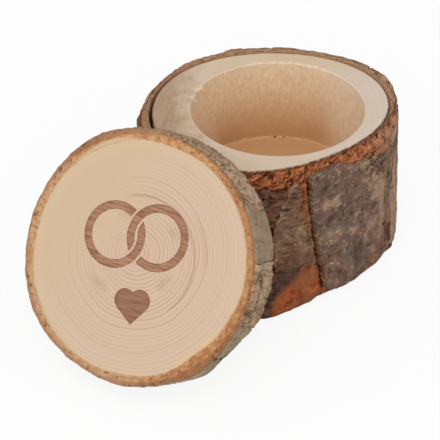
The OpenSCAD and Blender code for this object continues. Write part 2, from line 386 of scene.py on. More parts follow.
def axes_of(tree, place):
    return put(tree, "ShaderNodeSeparateXYZ", {0: place}).outputs[:]


def turned_by(tree, place, angle):
    """The same place turned in its plane by an angle in degrees."""
    turn = (0.0, 0.0, math.radians(angle))
    return put(tree, "ShaderNodeMapping", {"Vector": place, "Rotation": turn}).outputs[0]


def new_group(name, takes, gives):
    """A shader node group with named inputs and outputs, and its input node."""
    group = bpy.data.node_groups.new(name, "ShaderNodeTree")
    for label, kind in takes:
        group.interface.new_socket(label, in_out="INPUT", socket_type=kind)
    for label in gives:
        group.interface.new_socket(label, in_out="OUTPUT", socket_type="NodeSocketFloat")
    return group, put(group, "NodeGroupInput")


grain_group, given = new_group(
    "log_grain",
    [("Place", "NodeSocketVector"), ("Spacing", "NodeSocketFloat"), ("Waviness", "NodeSocketFloat")],
    ["Ring line", "Ring tone", "Fibre", "Pores", "Radius"])
flat_place = stretched(grain_group, given.outputs["Place"], (1.0, 1.0, 60.0))
reach = distance_across(grain_group, given.outputs["Place"])
wide_wave = calc(grain_group, "SUBTRACT", cloud(grain_group, flat_place, 16.0, 1.0), 0.5)
small_wave = calc(grain_group, "SUBTRACT", cloud(grain_group, flat_place, 3.0, 2.0), 0.5)
wave = calc(grain_group, "MULTIPLY_ADD", small_wave, 0.16, wide_wave)
bent = calc(grain_group, "MULTIPLY_ADD", wave, given.outputs["Waviness"], reach)
uneven = put(grain_group, "ShaderNodeTexNoise", {"W": bent, "Scale": 0.3, "Detail": 1.0},
             noise_dimensions="1D").outputs["Fac"]
count = calc(grain_group, "DIVIDE", bent, given.outputs["Spacing"])
count = calc(grain_group, "MULTIPLY_ADD", uneven, 1.1, count)
saw = calc(grain_group, "FRACT", count)
late_wood = between(grain_group, saw, 0.3, 0.78)
soft_end = between(grain_group, saw, 1.0, 0.8)
line = times(grain_group, late_wood, soft_end)
year = put(grain_group, "ShaderNodeTexWhiteNoise", {"W": calc(grain_group, "FLOOR", count)},
           noise_dimensions="1D").outputs["Value"]
strength = calc(grain_group, "MULTIPLY_ADD", year, 0.6, 0.38)
fibre_place = stretched(grain_group, given.outputs["Place"], (0.22, 0.22, 1.7))
pore_place = stretched(grain_group, given.outputs["Place"], (1.0, 1.0, 9.0))
put(grain_group, "NodeGroupOutput",
    {"Ring line": times(grain_group, line, strength), "Ring tone": year, "Radius": bent,
     "Fibre": cloud(grain_group, fibre_place, 1.0, 4.0, 0.6),
     "Pores": cloud(grain_group, pore_place, 0.3, 2.0, 0.7)})


def log_grain(tree, place, spacing, waviness):
    feeds = {"Place": place, "Spacing": spacing, "Waviness": waviness}
    return put(tree, "ShaderNodeGroup", feeds, node_tree=grain_group)


def object_place(tree, middle=(0.0, 0.0, 0.0), turned=(0.0, 0.0, 0.0)):
    """Object coordinates in millimetres from a middle point, on axes turned with the piece."""
    place = put(tree, "ShaderNodeTexCoord").outputs["Object"]
    feeds = {"Vector": place, "Location": tuple(millimetre * part for part in middle), "Rotation": turned,
             "Scale": (millimetre, millimetre, millimetre)}
    return put(tree, "ShaderNodeMapping", feeds, vector_type="TEXTURE").outputs[0]


def layer(tree, name, gives="Fac"):
    """What the points of a mesh carry under a name."""
    return put(tree, "ShaderNodeAttribute", attribute_name=name, attribute_type="GEOMETRY").outputs[gives]


def shade(tree, output, colour, height, roughness, relief, gloss):
    """Ends a material: a dull surface with its colour, its roughness and fine relief in millimetres."""
    bump = put(tree, "ShaderNodeBump", {"Strength": 1.0, "Distance": millimetre * relief, "Height": height})
    surface = put(tree, "ShaderNodeBsdfPrincipled",
                  {"Base Color": colour, "Roughness": roughness, "Normal": bump.outputs[0],
                   "Specular IOR Level": gloss})
    tree.links.new(surface.outputs[0], output.inputs["Surface"])


box_wood_finish, tree, output = new_material("box_wood_finish")
on_log = object_place(tree)
place = object_place(tree, (-1.5, 1.0, 0.0))
grain = log_grain(tree, place, 1.25, 4.0)
log_x, log_y, log_z = axes_of(tree, on_log)
ring_share = times(tree, grain.outputs["Ring line"], 0.42)
colour = blend(tree, ring_share, srgb(223, 203, 183), srgb(200, 171, 145))
colour = coated(tree, colour, [
    (between(tree, cloud(tree, place, 11.0), 0.35, 0.7), (216, 193, 165)),
    (between(tree, log_x, 10.0, 28.0, 0.0, 0.5), (224, 208, 195)),
    (between(tree, log_y, 12.0, 26.0, 0.0, 0.5), (222, 196, 156))])
saw_place = turned_by(tree, place, 8)
saw_lines = cloud(tree, stretched(tree, saw_place, (0.32, 7.0, 9.0)), 1.0, 3.0, 0.6)
leftward = calc(tree, "MULTIPLY_ADD", cloud(tree, place, 5.0, 4.0, 0.6), 16.0, log_x)
weathered = between(tree, leftward, -6.0, -20.0)
weathered = times(tree, weathered, between(tree, saw_lines, 0.25, 0.7, 0.6, 1.0))
colour = blend(tree, weathered, colour, srgb(173, 139, 108))
# Pocket wall with painted light: its tones are paler than the rim's to brighten the pocket.
wall = two_tone(tree, grain.outputs["Fibre"], 0.36, 0.66, (253, 231, 200), (235, 204, 163))
# Painted shade: browner towards the floor of the pocket, less so on its side walls.
painted_pocket_shade = between(tree, log_z, 41.3, 17.6, 0.0, 0.93)
sideways = calc(tree, "ABSOLUTE", calc(tree, "SUBTRACT", log_x, pocket_middle.x))
painted_pocket_shade = times(tree, painted_pocket_shade, between(tree, sideways, 12.0, 21.0, 1.0, 0.28))
from_bore = distance_across(tree, vector_calc(tree, "SUBTRACT", on_log, tuple(pocket_middle)))
tool_marks = put(tree, "ShaderNodeTexNoise", {"W": from_bore, "Scale": 1.6, "Detail": 3.0},
                 noise_dimensions="1D").outputs["Fac"]
blotches = cloud(tree, place, 2.2, 4.0, 0.65)
worked = calc(tree, "MULTIPLY_ADD", blotches, 0.6, times(tree, tool_marks, 0.4))
fringe = between(tree, cloud(tree, place, 0.9), 0.42, 0.6, 0.0, 0.6)
wall = coated(tree, wall, [
    (painted_pocket_shade, (194, 147, 102)),
    # Painted light: the right wall of the pocket is lighter.
    (between(tree, log_x, 12.0, 25.0, 0.0, 0.5), (253, 240, 222)),
    (between(tree, worked, 0.4, 0.62, 0.0, 0.15), (176, 128, 88)),
    # Painted shade in the corner where the wall meets the floor.
    (between(tree, log_z, 19.0, 18.6, 0.0, 0.4), (220, 176, 132)),
    (times(tree, layer(tree, "inner_corner"), fringe), (224, 186, 142))])
colour = blend(tree, layer(tree, "bored"), colour, wall)
for knot_turn, knot_size in [(90, 0.42), (84, 0.36)]:
    knot = pocket_middle + spot(pocket_radius - 0.1, knot_turn, pocket_floor + 0.15)
    away = vector_calc(tree, "DISTANCE", on_log, tuple(knot), gives="Value")
    colour = blend(tree, between(tree, away, knot_size, 0.5 * knot_size), colour, srgb(112, 70, 42))
shreds = between(tree, cloud(tree, place, 0.7, 2.0), 0.3, 0.55, 0.4, 1.0)
fleck = between(tree, grain.outputs["Pores"], 0.3, 0.75)
rags = between(tree, cloud(tree, place, 1.4), 0.35, 0.6, 0.35, 1.0)
colour = coated(tree, colour, [
    (times(tree, layer(tree, "rounded"), 0.5), (238, 217, 186)),
    (times(tree, layer(tree, "torn"), shreds), (247, 228, 196)),
    (times(tree, fleck, 0.1), (150, 110, 75)),
    # Painted shade of the gap between wood and bark, ragged.
    (times(tree, layer(tree, "gap_shade"), rags), (74, 44, 26))])
height = calc(tree, "ADD", grain.outputs["Fibre"], times(tree, grain.outputs["Pores"], 0.4))
shade(tree, output, colour, height, roughness=0.62, relief=0.05, gloss=0.25)

wood_piece = bring_in(wood, "log_body", box_wood_finish)
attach(wood_piece, "box")
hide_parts("box_wood")


# Inner bark of the box: the soft orange layer next to the wood, a cork-like sleeve that has come
# off the wood on the left. It shows as a crumbly slope at the rim and in the cracks between the scales.
# Its cracks, pits, gaps between flakes and the hollow under the wedge are painted dark as shade.
sleeve_corners = 640
sleeve_thick = 1.4
sleeve_play = 0.05
deepest_cut = 1.25
weld_distance = 0.001


def sleeve_inside(turn):
    lifted = 0.55 * max(0.0, cosine(turn - 186)) ** 2
    return log_radius(turn) + lifted + sleeve_play


def sleeve_outside(turn):
    lifted = max(0.0, cosine(turn - 186)) ** 2
    return log_radius(turn) + lifted + sleeve_play + sleeve_thick


def sleeve_between(share):
    return lambda turn: (1 - share) * sleeve_inside(turn) + share * sleeve_outside(turn)


def crack_turn(height):
    """Direction of the long crack in front: it runs down to the right."""
    share = height / box_height
    jagged = 0.8 * noise.noise((height / 2.2, 7.7, 0.0))
    jagged += 0.6 * noise.noise((height / 0.8, 2.7, 0.0))
    return -58.2 - 20.0 * share + 6.9 * share ** 2 + jagged


flat_radius = 30
front_radius = 29


def unrolled(turn, height):
    """Place on the bark laid out flat, in millimetres round the log and up it."""
    return Vector((math.radians(turn) * flat_radius, height, 0.0))


def rough(place, layers):
    """Noise with so many layers, each twice as fine and half as strong as the one before."""
    return noise.fractal(place, 1.0, 2.0, layers)


def flakes(flat, long, wide, lean):
    """Height and edge of flakes of bark that lie across the log: both from 0 to 1."""
    along = (flat.x * cosine(lean) + flat.y * sine(lean)) / long
    across = (flat.y * cosine(lean) - flat.x * sine(lean)) / wide
    bend = 0.35 * noise.noise((along * 1.3, across * 0.8, 4.0))
    gaps, middles = noise.voronoi((along + bend, across + bend, 0.0))
    own = 0.5 + 0.5 * noise.noise(middles[0] * 5.37)
    return own, step(gaps[1] - gaps[0], 0.0, 0.3)


def drift(flat):
    """A slow sideways wander of places on the bark, so that its pattern isn't regular."""
    return Vector((noise.noise(flat), noise.noise(flat + Vector((5.0, 8.0, 2.0))), 0.0))


def drawn_in(turn, height):
    """How far the bark lies closer to the wood at the upper left, in millimetres."""
    around = turn % 360
    return 1.15 * within(around, 130, 152, 170, 187) * step(height, 16, 30)


def sleeve_relief(turn, height):
    """How far the inner bark stands out, how much painted shade and dark marks it has there, and how grey
    it is.
    """
    flat = unrolled(turn, height)
    front = within(turn, -150, -125, 5, 30)
    ramp = front * step(height, 42.3, 38.9) + (1 - front) * step(height, 42.8, 41.4)
    bent = flat + 1.1 * drift(flat / 2.0)
    own, edge = flakes(bent, 3.8, 1.1, 14)
    small = flakes(bent + Vector((7.0, 3.0, 0.0)), 1.5, 0.6, 26)[0]
    open_crack = (1 - edge) ** 2 * step(noise.noise(flat / 2.4 + Vector((1.0, 6.0, 3.0))), -0.3, 0.2)
    fine = rough(flat / 0.9, 3)
    crumbs = 0.7 * (own - 0.5) * edge - 0.4 * open_crack + 0.3 * (small - 0.5) + 0.12 * fine
    crumbs *= step(height, 0.3, 3.0)
    beside = turn - crack_turn(height)
    away = math.radians(beside) * front_radius
    crack = math.exp(-(away / 0.36) ** 2) * within(height, 0.5, 2.5, 38.4, 40.0)
    pits = math.exp(-((turn + 16) / 1.6) ** 2 - ((height - 22.5) / 2.0) ** 2)
    pits += math.exp(-((turn + 14) / 1.7) ** 2 - ((height - 11) / 3.2) ** 2)
    strip = within(beside, -9, -7.5, -0.9, -0.2) * within(height, 9, 13, 38.5, 40.8)
    under_wedge = within(turn, -130, -115, -84, -81) * step(height, 39, 36)
    under_plate = step(beside, 0.6, 1.8) * step(turn, -17, -21)
    under_plate *= within(height, 2.5, 4.5, 37, 39.5)
    broken_rim = within(turn, -135, -110, -14, 4) * step(height, 39.4, 41.9)
    right_side = within(turn, -25, -18, -6, 4) * step(height, 38, 35)
    foot = step(height, 5.5, 0.8) * within(turn, -78, -66, -10, -2)
    foot *= (1 - 0.2 * step(turn, -30, -18)) * (1 - 0.31 * math.exp(-((turn + 60) / 2.5) ** 2))
    stand = (0.35 + 0.6 * front) * ramp + 0.35 * right_side + 0.4 * strip
    stand += crumbs * (0.35 + 0.65 * ramp) * (1 - 0.5 * max(strip, right_side))
    stand -= drawn_in(turn, height) + 0.7 * under_plate + 0.4 * under_wedge
    stand -= 1.35 * crack + 1.1 * pits + 1.05 * broken_rim + 1.8 * foot
    shaded = 1.15 * open_crack + 0.4 * (0.45 - own) + 0.4 * (0.42 - small)
    shade_and_dark_marks = crack + 0.9 * pits + 0.85 * under_wedge + 0.2 * strip + shaded * (1 - 0.3 * strip)
    shade_and_dark_marks = min(1.0, max(0.0, shade_and_dark_marks))
    grey = max(step(turn, -24, -19) * step(height, 38, 35.5), 0.8 * strip * step(height, 38, 20))
    return stand, shade_and_dark_marks, grey


sleeve, ring = first_ring(sleeve_corners, sleeve_inside, 0.05, gather=22, towards=-65)
ring = next_ring(sleeve, ring, lambda turn: sleeve_outside(turn) - 0.5, 0.05)
for low, high, rows in [(0.25, 34.25, 68), (34.25, 41.75, 40)]:
    for number in range(rows):
        ring = next_ring(sleeve, ring, sleeve_outside, low + (high - low) * number / rows)
ring = next_ring(sleeve, ring, sleeve_outside, 41.75)
for share in (0.9, 0.65, 0.35, 0.1):
    ring = next_ring(sleeve, ring, sleeve_between(share), 41.95)
for height in (41.7, 30.0, 15.0, 0.05):
    ring = next_ring(sleeve, ring, sleeve_inside, height)
bmesh.ops.remove_doubles(sleeve, verts=sleeve.verts, dist=weld_distance)

bark_map = sleeve.verts.layers.float_vector.new("bark_map")
shade_and_marks_layer, grey_layer, sawn_layer = new_layers(sleeve, "shade_and_dark_marks", "grey", "sawn")
for corner in sleeve.verts:
    turn = turn_of(corner.co)
    height = corner.co.z
    outward = (corner.co.xy.length - sleeve_inside(turn)) / (sleeve_outside(turn) - sleeve_inside(turn))
    corner[bark_map] = unrolled(turn, height) + Vector((0, 0, 4 * outward))
    stand, shade_and_dark_marks, grey = sleeve_relief(turn, height)
    on_top = step(height, 41.75, 41.9)
    corner[sawn_layer] = on_top * (1 - within(turn, -135, -110, -14, 4))
    corner[shade_and_marks_layer] = shade_and_dark_marks * step(outward, 0.55, 0.95) * (1 - 0.8 * corner[sawn_layer])
    corner[grey_layer] = grey
    if height > 41.5:
        own, edge = flakes(unrolled(turn, outward * 3), 1.6, 1.2, 0)
        corner.co.z += 0.12 * (own - 0.5) - 0.16 * (1 - edge)
        corner.co.z += 0.45 * step(outward, 0.4, 0.8) * step(abs(turn - 80), 100, 80)
    if outward > 0.55:
        corner.co.xy += corner.co.xy.normalized() * max(-deepest_cut, stand) * step(outward, 0.5, 0.95)

crumb_group, given = new_group(
    "bark_crumbs", [("Place", "NodeSocketVector"), ("Size", "NodeSocketFloat")], ["Crumb", "Gap", "Dust"])
sized = vector_calc(crumb_group, "DIVIDE", given.outputs["Place"], given.outputs["Size"])
bent_place = put(crumb_group, "ShaderNodeTexNoise",
                 {"Vector": sized, "Scale": 0.9, "Detail": 2.0}).outputs["Color"]
bent_place = put(crumb_group, "ShaderNodeVectorMath", {0: bent_place, 1: (0.9, 0.9, 0.9), 2: sized},
                 operation="MULTIPLY_ADD").outputs[0]
cells = put(crumb_group, "ShaderNodeTexVoronoi", {"Vector": bent_place, "Scale": 1.0})
edges = put(crumb_group, "ShaderNodeTexVoronoi", {"Vector": bent_place, "Scale": 1.0},
            feature="DISTANCE_TO_EDGE")
cell_tone = put(crumb_group, "ShaderNodeSeparateColor", {0: cells.outputs["Color"]}).outputs[0]
put(crumb_group, "NodeGroupOutput",
    {"Crumb": cell_tone, "Gap": between(crumb_group, edges.outputs["Distance"], 0.14, 0.0),
     "Dust": cloud(crumb_group, sized, 0.4, 4.0, 0.65)})


def bark_crumbs(tree, place, size):
    return put(tree, "ShaderNodeGroup", {"Place": place, "Size": size}, node_tree=crumb_group)


sleeve_finish, tree, output = new_material("orange_inner_bark")
place = layer(tree, "bark_map", "Vector")
leaning = turned_by(tree, place, -24)
leaning = stretched(tree, leaning, (1.9, 0.9, 1.0))
crumbs = bark_crumbs(tree, leaning, 0.8)
colour = two_tone(tree, cloud(tree, leaning, 1.3, 4.0, 0.65), 0.3, 0.7, (142, 70, 40), (246, 156, 100))
colour = blend(tree, times(tree, crumbs.outputs["Crumb"], 0.35), colour, srgb(202, 124, 76))
split = calc(tree, "ABSOLUTE", calc(tree, "SUBTRACT", cloud(tree, leaning, 1.1, 3.0, 0.6, 0.6), 0.5))
colour = coated(tree, colour, [
    (between(tree, split, 0.05, 0.0, 0.0, 0.75), (60, 30, 18)),
    (between(tree, crumbs.outputs["Dust"], 0.5, 0.72, 0.0, 0.7), (92, 46, 26)),
    (times(tree, crumbs.outputs["Gap"], 0.3), (70, 34, 18))])
around = axes_of(tree, place)[0]
colour = coated(tree, colour, [
    (between(tree, around, -22.0, -6.0, 0.0, 0.6), (188, 142, 114)),
    (between(tree, around, -28.0, -40.0, 0.0, 0.22), (104, 52, 30))])
sawn_layers = cloud(tree, stretched(tree, place, (1.7, 1.0, 0.8)), 1.0, 5.0, 0.7)
sawn_colour = two_tone(tree, sawn_layers, 0.3, 0.7, (132, 92, 66), (224, 182, 145))
colour = blend(tree, times(tree, layer(tree, "sawn"), 0.85), colour, sawn_colour)
grey_colour = blend(tree, cloud(tree, place, 1.6, 5.0, 0.65), srgb(104, 80, 62), srgb(166, 134, 106))
colour = blend(tree, layer(tree, "grey"), colour, grey_colour)
# Painted shade: cracks, pits, gaps between flakes and the hollow under the wedge are coloured dark.
colour = blend(tree, layer(tree, "shade_and_dark_marks"), colour, srgb(56, 28, 16))
height = calc(tree, "SUBTRACT", crumbs.outputs["Dust"], times(tree, crumbs.outputs["Gap"], 0.5))
shade(tree, output, colour, height, roughness=0.88, relief=0.25, gloss=0.12)

sleeve_piece = bring_in(sleeve, "inner_bark_sleeve", sleeve_finish)
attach(sleeve_piece, "box")
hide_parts("box_inner_bark")


# Scales of the box: hard grey outer bark, grown onto the inner bark and parted by cracks as the log
# thickened. The big one in front is smooth with lichen, the tongue beside it is wrinkled. Cracks,
# grooves and troughs are painted dark as shade, the tongue's left edge and tip carry a painted
# highlight, and the far right of the right-hand scale is painted darker as shade.


def even_copy(node, grid_size):
    """Merged copy of a node of the frame with even small faces, in millimetres."""
    bm = bmesh.new()
    bm.from_mesh(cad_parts[node].data)
    bmesh.ops.remove_doubles(bm, verts=bm.verts, dist=weld_distance * millimetre)
    bmesh.ops.scale(bm, vec=[1 / millimetre] * 3, verts=bm.verts)
    cut_mesh = bpy.data.meshes.new("rough_cut")
    bm.to_mesh(cut_mesh)
    bm.clear()
    blank = bpy.data.objects.new("rough_cut", cut_mesh)
    scene.collection.objects.link(blank)
    grid = blank.modifiers.new("even_grid", "REMESH")
    grid.mode = "VOXEL"
    grid.voxel_size = grid_size
    bpy.context.view_layer.update()
    fine_mesh = bpy.data.meshes.new_from_object(blank.evaluated_get(bpy.context.evaluated_depsgraph_get()))
    bm.from_mesh(fine_mesh)
    bpy.data.objects.remove(blank)
    bpy.data.meshes.remove(cut_mesh)
    bpy.data.meshes.remove(fine_mesh)
    return bm


def apart(turn, middle):
    """Angle from one direction to another, from -180 to 180 degrees."""
    return (turn - middle + 180) % 360 - 180


def span_of(bm):
    """Direction of the middle of a scale and half its width, both in degrees."""
    middle = turn_of(sum((corner.co for corner in bm.verts), Vector()))
    return middle, max(abs(apart(turn_of(corner.co), middle)) for corner in bm.verts)


def scale_inside(turn):
    return sleeve_outside(turn) + 0.05


def scale_thick(turn):
    return 1.2 - 0.4 * sine(turn)


def above_toe(flat, turn, height):
    """Height over the slanting border between the grey bark and the orange toe."""
    from_left = turn + 88
    border = 4.4 + 0.53 * from_left - 0.0117 * from_left ** 2
    return height - border - 0.9 * rough(flat / 3.0, 3)


def near_line(flat, start, end, wide):
    """1 on the line between two places on the unrolled bark, and less to both sides of it."""
    first, last = unrolled(*start), unrolled(*end)
    share = min(1.0, max(0.0, (flat - first).dot(last - first) / (last - first).length_squared))
    wobble = 0.5 * noise.noise(flat / 1.1)
    return math.exp(-(((flat - first.lerp(last, share)).length + wobble) / wide) ** 2)


def in_patches(flat, patches):
    """Sum of soft patches of tone: direction, height, half width in degrees, half height, tone."""
    bent = flat + 2.2 * drift(flat / 3.0)
    total = 0.0
    for turn, height, half_turn, half_height, tone in patches:
        away = bent - unrolled(turn, height)
        half_wide = math.radians(half_turn) * flat_radius
        total += tone * math.exp(-(away.x / half_wide) ** 2 - (away.y / half_height) ** 2)
    return min(1.0, max(-1.0, total))


plate_splits = [((-34, 36.0), (-25.5, 37.8), 0.42), ((-26, 31.2), (-21, 31.4), 0.4),
                ((-21, 31.4), (-16, 34.5), 0.4),
                ((-17.3, 20.6), (-16.8, 24.0), 0.5), ((-14.2, 7.5), (-13.6, 13.0), 0.6)]
plate_patches = [
    (-56, 29.5, 6, 1.6, 0.9), (-55, 20, 6, 2.2, 0.8), (-45, 38.6, 8, 1.3, 0.6), (-41, 19.5, 2, 2.2, 0.8),
    (-33, 13, 2, 2.4, 0.9), (-57, 7, 3, 1.2, 0.5), (-32, 32, 7, 2.6, 0.5), (-14, 28, 2.5, 4, 0.8),
    (-24, 27, 5, 4, 0.7), (-21, 18, 4, 4, 0.6), (-33, 39, 4, 1.2, 0.9), (-30, 17, 5, 2.5, 0.4),
    (-56, 25, 6, 2, -0.8), (-46, 28, 4, 3, -0.6), (-34, 23.5, 4, 1.6, -0.5), (-36, 11.5, 7, 2.4, -0.8),
    (-57, 14, 5, 3, -0.6), (-22, 33, 5, 1.6, -0.8), (-37, 5, 8, 1.5, -0.5), (-61, 35, 6, 3, -0.5),
    (-48, 34, 4, 1.6, -0.4), (-22, 22, 9, 12, 0.5), (-27, 21, 3, 2.5, -0.6), (-19, 29, 3, 2, -0.5),
    (-52, 9.5, 1.2, 0.8, 0.5), (-44, 8, 1.2, 0.8, 0.5), (-48, 7, 2.5, 1.5, -0.9), (-40, 9, 2.0, 1.6, -0.8)]


def plain_skin(flat, turn, height):
    """How far the bark stands out in millimetres, how much painted shade and dark marks it has there, and
    how pale or dark.
    """
    lumps = 0.26 * rough(flat / 8.0, 3) + 0.16 * rough(flat / 2.0, 4)
    streak = Vector(((flat.x - flat.y) / 7.0, (flat.x + flat.y) / 1.6, 2.0))
    upper_right = step(turn, -42, -28) * step(height, 24, 34)
    groove = abs(rough(streak, 2))
    split = max(near_line(flat, *line) for line in plate_splits)
    lumps += upper_right * (0.75 * min(0.5, groove) - 0.3) - 0.7 * split
    tone = in_patches(flat, plate_patches) + 0.4 * rough(flat / 2.6, 3)
    # Painted shade: the grooves at the upper right and the splits are coloured dark.
    tone += 2.0 * upper_right * (min(0.5, groove) - 0.22)
    return lumps, max(split, 0.8 * step(groove, 0.1, 0.0) * upper_right), tone


tongue_patches = [
    # The first patch brightens the pale bare tip of the tongue, partly as a painted highlight.
    (-78, 39.6, 2.5, 0.9, 1.2), (-76, 24, 3, 2, 0.7), (-79, 34, 4, 4, -0.7), (-74, 15, 4, 2.5, -0.6),
    (-84, 19, 3, 2.5, 0.5), (-73, 19, 2, 2, 0.4), (-83, 9, 6, 4, -1.0), (-85, 30, 2, 1.5, 0.5)]


def wrinkled_skin(flat, turn, height):
    sag = 0.5 * noise.noise(flat / 3.0)
    wrinkle = rough((flat.x / 4.5, flat.y / 0.8 + 0.12 * flat.x + sag, 1.0), 3)
    lumps = 0.28 * rough(flat / 6.0, 2) + 0.15 * rough(flat / 1.2, 4)
    # The foot of the tongue has a dark stain; the troughs of its wrinkles are painted dark as shade.
    darkened = step(height + 2.0 * rough(flat / 2.5, 3), 15.5, 12.0) * step(turn, -72, -78)
    shade_and_dark_marks = max(0.45 * darkened, 0.75 * step(wrinkle, -0.3, -0.6))
    tone = in_patches(flat, tongue_patches) + 0.5 * rough(flat / 2.2, 3) + 0.3 * wrinkle
    # Painted highlight along the broken left edge of the tongue and on its tip.
    tone += 1.4 * near_line(flat, (-78.5, 40.4), (-87, 28.5), 0.6)
    tone += 2.5 * near_line(flat, (-79.0, 39.4), (-76.0, 40.6), 1.2)
    return lumps + 0.26 * wrinkle, shade_and_dark_marks, tone


def flaky_skin(flat, turn, height):
    own, edge = flakes(flat + 1.5 * drift(flat / 2.5), 5.5, 2.4, 22)
    fine = rough(flat / 1.3, 4)
    open_crack = (1 - edge) ** 2 * step(noise.noise(flat / 3.0 + Vector((8.0, 2.0, 6.0))), -0.3, 0.2)
    split = near_line(flat, (-94, 35.0), (-87.4, 37.2), 0.45)
    lumps = 0.6 * (own - 0.5) - 0.5 * open_crack + 0.25 * fine - 0.6 * split
    return lumps, max(split, 0.9 * open_crack), 1.2 * (own - 0.5) + 0.6 * fine


def ridged_skin(flat, turn, height):
    ridge = rough((flat.x / 1.3, flat.y / 11.0, 3.0), 3)
    lumps = 0.12 * rough(flat / 7.0, 2) + 0.1 * rough(flat / 1.3, 3)
    split = max(near_line(flat, *line) for line in plate_splits)
    # Painted shade: the far right of the scale, turned away, is darker, and the troughs between ridges are
    # dark.
    tone = 0.8 * ridge - 0.8 * step(turn, -5, 1) * step(height, 12, 24) - 0.6 * step(turn, -8, -12)
    return lumps + 0.26 * ridge - 0.6 * split, max(split, step(ridge, -0.26, -0.55)), tone


def fissured_skin(flat, turn, height):
    sway = noise.noise(flat / 9.0)
    split = abs(rough((flat.x / 3.4 + sway, flat.y / 24.0, 6.0), 2))
    fissure = step(split, 0.12, 0.0)
    lumps = 0.22 * rough(flat / 7.0, 2) + 0.15 * rough(flat / 1.8, 4)
    tone = rough(flat / 7.0 + Vector((3.0, 1.0, 8.0)), 3)
    return lumps + 0.5 * min(0.4, split) - 0.1 - 0.2 * fissure, 0.85 * fissure, tone


def as_grown(turn, height):
    """How far a scale lies out, round in degrees and up from its place in the frame."""
    back_right = within(turn, 10, 30, 90, 120)
    around = turn % 360
    left_bulge = 0.5 * within(around, 178, 188, 200, 215) * step(height, 18, 34)
    wander = 1.6 * noise.noise((turn / 14, height / 6, 9.0)) * step(abs(turn + 60), 60, 80)
    further = 0.4 * back_right + 0.25 * within(turn, 100, 115, 130, 145)
    further += 0.45 * within(turn, 20, 32, 46, 58) * step(height, 20, 34)
    higher = max(0.5 * back_right, 0.75 * within(turn, 60, 80, 105, 125)) * step(height, 37, 41)
    return further + left_bulge, wander, higher


def worn_right(turn, height):
    """The right-hand scale leans: in at the top and out below."""
    out, aside, up = as_grown(turn, height)
    lean = 0.45 * step(height, 30, 8) - 0.3 * step(height, 22, 38)
    foot = step(turn, -2, -11)
    out += lean * step(turn, 25, 5) - 1.0 * foot * step(height, 6.5, 1.0)
    return out, aside - 1.0 * step(turn, 0, -9), up + 0.9 * foot * step(height, 8.0, 0.5)


def to_crack(turn, height):
    """The plate in front reaches to the crack with a jagged edge, and is worn where it stands."""
    beside = turn - crack_turn(height)
    jag = 1.3 * rough((height / 1.2, 3.3, 1.0), 2) * step(beside, 7, 3)
    nearer = (0.15 + 1.2 * (1 - height / box_height)) * step(turn, -52, -57)
    worn = (1.4 + 0.9 * step(turn, -40, -31)) * step(height, 6.5, 1.0) * step(turn, -55, -40)
    longer = 2.2 * step(height, 10.0, 3.5) * within(turn, -62, -56, -32, -24)
    broken_off = 2.4 * step(turn, -32, -24) * step(height, 8.0, 0.5)
    chip = 0.9 + 1.2 * step(turn, -43, -31) + 0.8 * noise.noise((turn / 2.6, 1.0, 6.0))
    chipped = chip * step(turn, -52, -45) * step(height, 33, 39)
    worn += 0.25 * step(turn, -20, -15)
    return -worn, jag - nearer + 0.8 * step(turn, -30, -18), broken_off - longer - chipped


def over_crack(turn, height):
    """The tongue comes closer to its neighbours, and runs out over the toe."""
    rightward = 1.9 * step(height, 25, 15) * step(turn, -76, -71)
    notched = rough((height / 2.4, 1.7, 3.0), 3)
    leftward = (0.6 + 1.8 * notched) * step(turn, -79, -83) * step(height, 39, 36)
    ragged = 1.2 * rough((turn / 2.4, 5.1, 2.0), 2) * step(height, 18, 12.5)
    return -0.9 * step(height, 15.5, 11.5), rightward - leftward, ragged - 1.0 * step(height, 17, 12.5)


def beside_tongue(turn, height):
    """The dark scales reach up to the tongue, to the toe and down to the table."""
    upper_edge = -90 + 0.655 * (height - 26.5)
    rightward = step(turn - max(upper_edge, -91), -6, -1)
    broken = 1.4 + 1.5 * step(turn, -91, -85) + 1.3 * abs(rough((turn / 1.6, 8.3, 4.0), 2))
    broken += 1.4 * step(turn, -120, -129)
    aside = 2.0 * rightward - 1.0 * step(turn, -119, -129)
    aside += 1.9 * step(turn, -106, -100.3) * step(height, 12.2, 11.4)
    onto_toe = 1.3 * step(height, 15.0, 11.9) * step(turn, -101, -99)
    down = 2.0 * step(height, 7.0, 2.0) + onto_toe
    down += 0.8 * noise.noise((turn / 1.9, 2.6, 7.0)) * step(height, 16, 12)
    return -0.2 * rightward, aside, -broken * step(height, 34, 39.5) - down


mottle_group, given = new_group(
    "bark_mottle", [("Place", "NodeSocketVector"), ("Shift", "NodeSocketFloat")],
    ["Patch", "Lichen", "Stain", "Grit"])
moved = vector_calc(mottle_group, "ADD", given.outputs["Place"], given.outputs["Shift"])
leaning = turned_by(mottle_group, moved, -40)
leaning = stretched(mottle_group, leaning, (1.25, 1.0, 1.0))
stain_place = vector_calc(mottle_group, "ADD", moved, (31.0, 17.0, 5.0))
put(mottle_group, "NodeGroupOutput",
    {"Patch": cloud(mottle_group, moved, 6.0, 5.0, 0.62, 0.4),
     "Lichen": cloud(mottle_group, leaning, 1.25, 6.0, 0.75, 0.2),
     "Stain": cloud(mottle_group, stain_place, 1.9, 7.0, 0.76, 0.2),
     "Grit": cloud(mottle_group, moved, 0.5, 4.0, 0.7)})


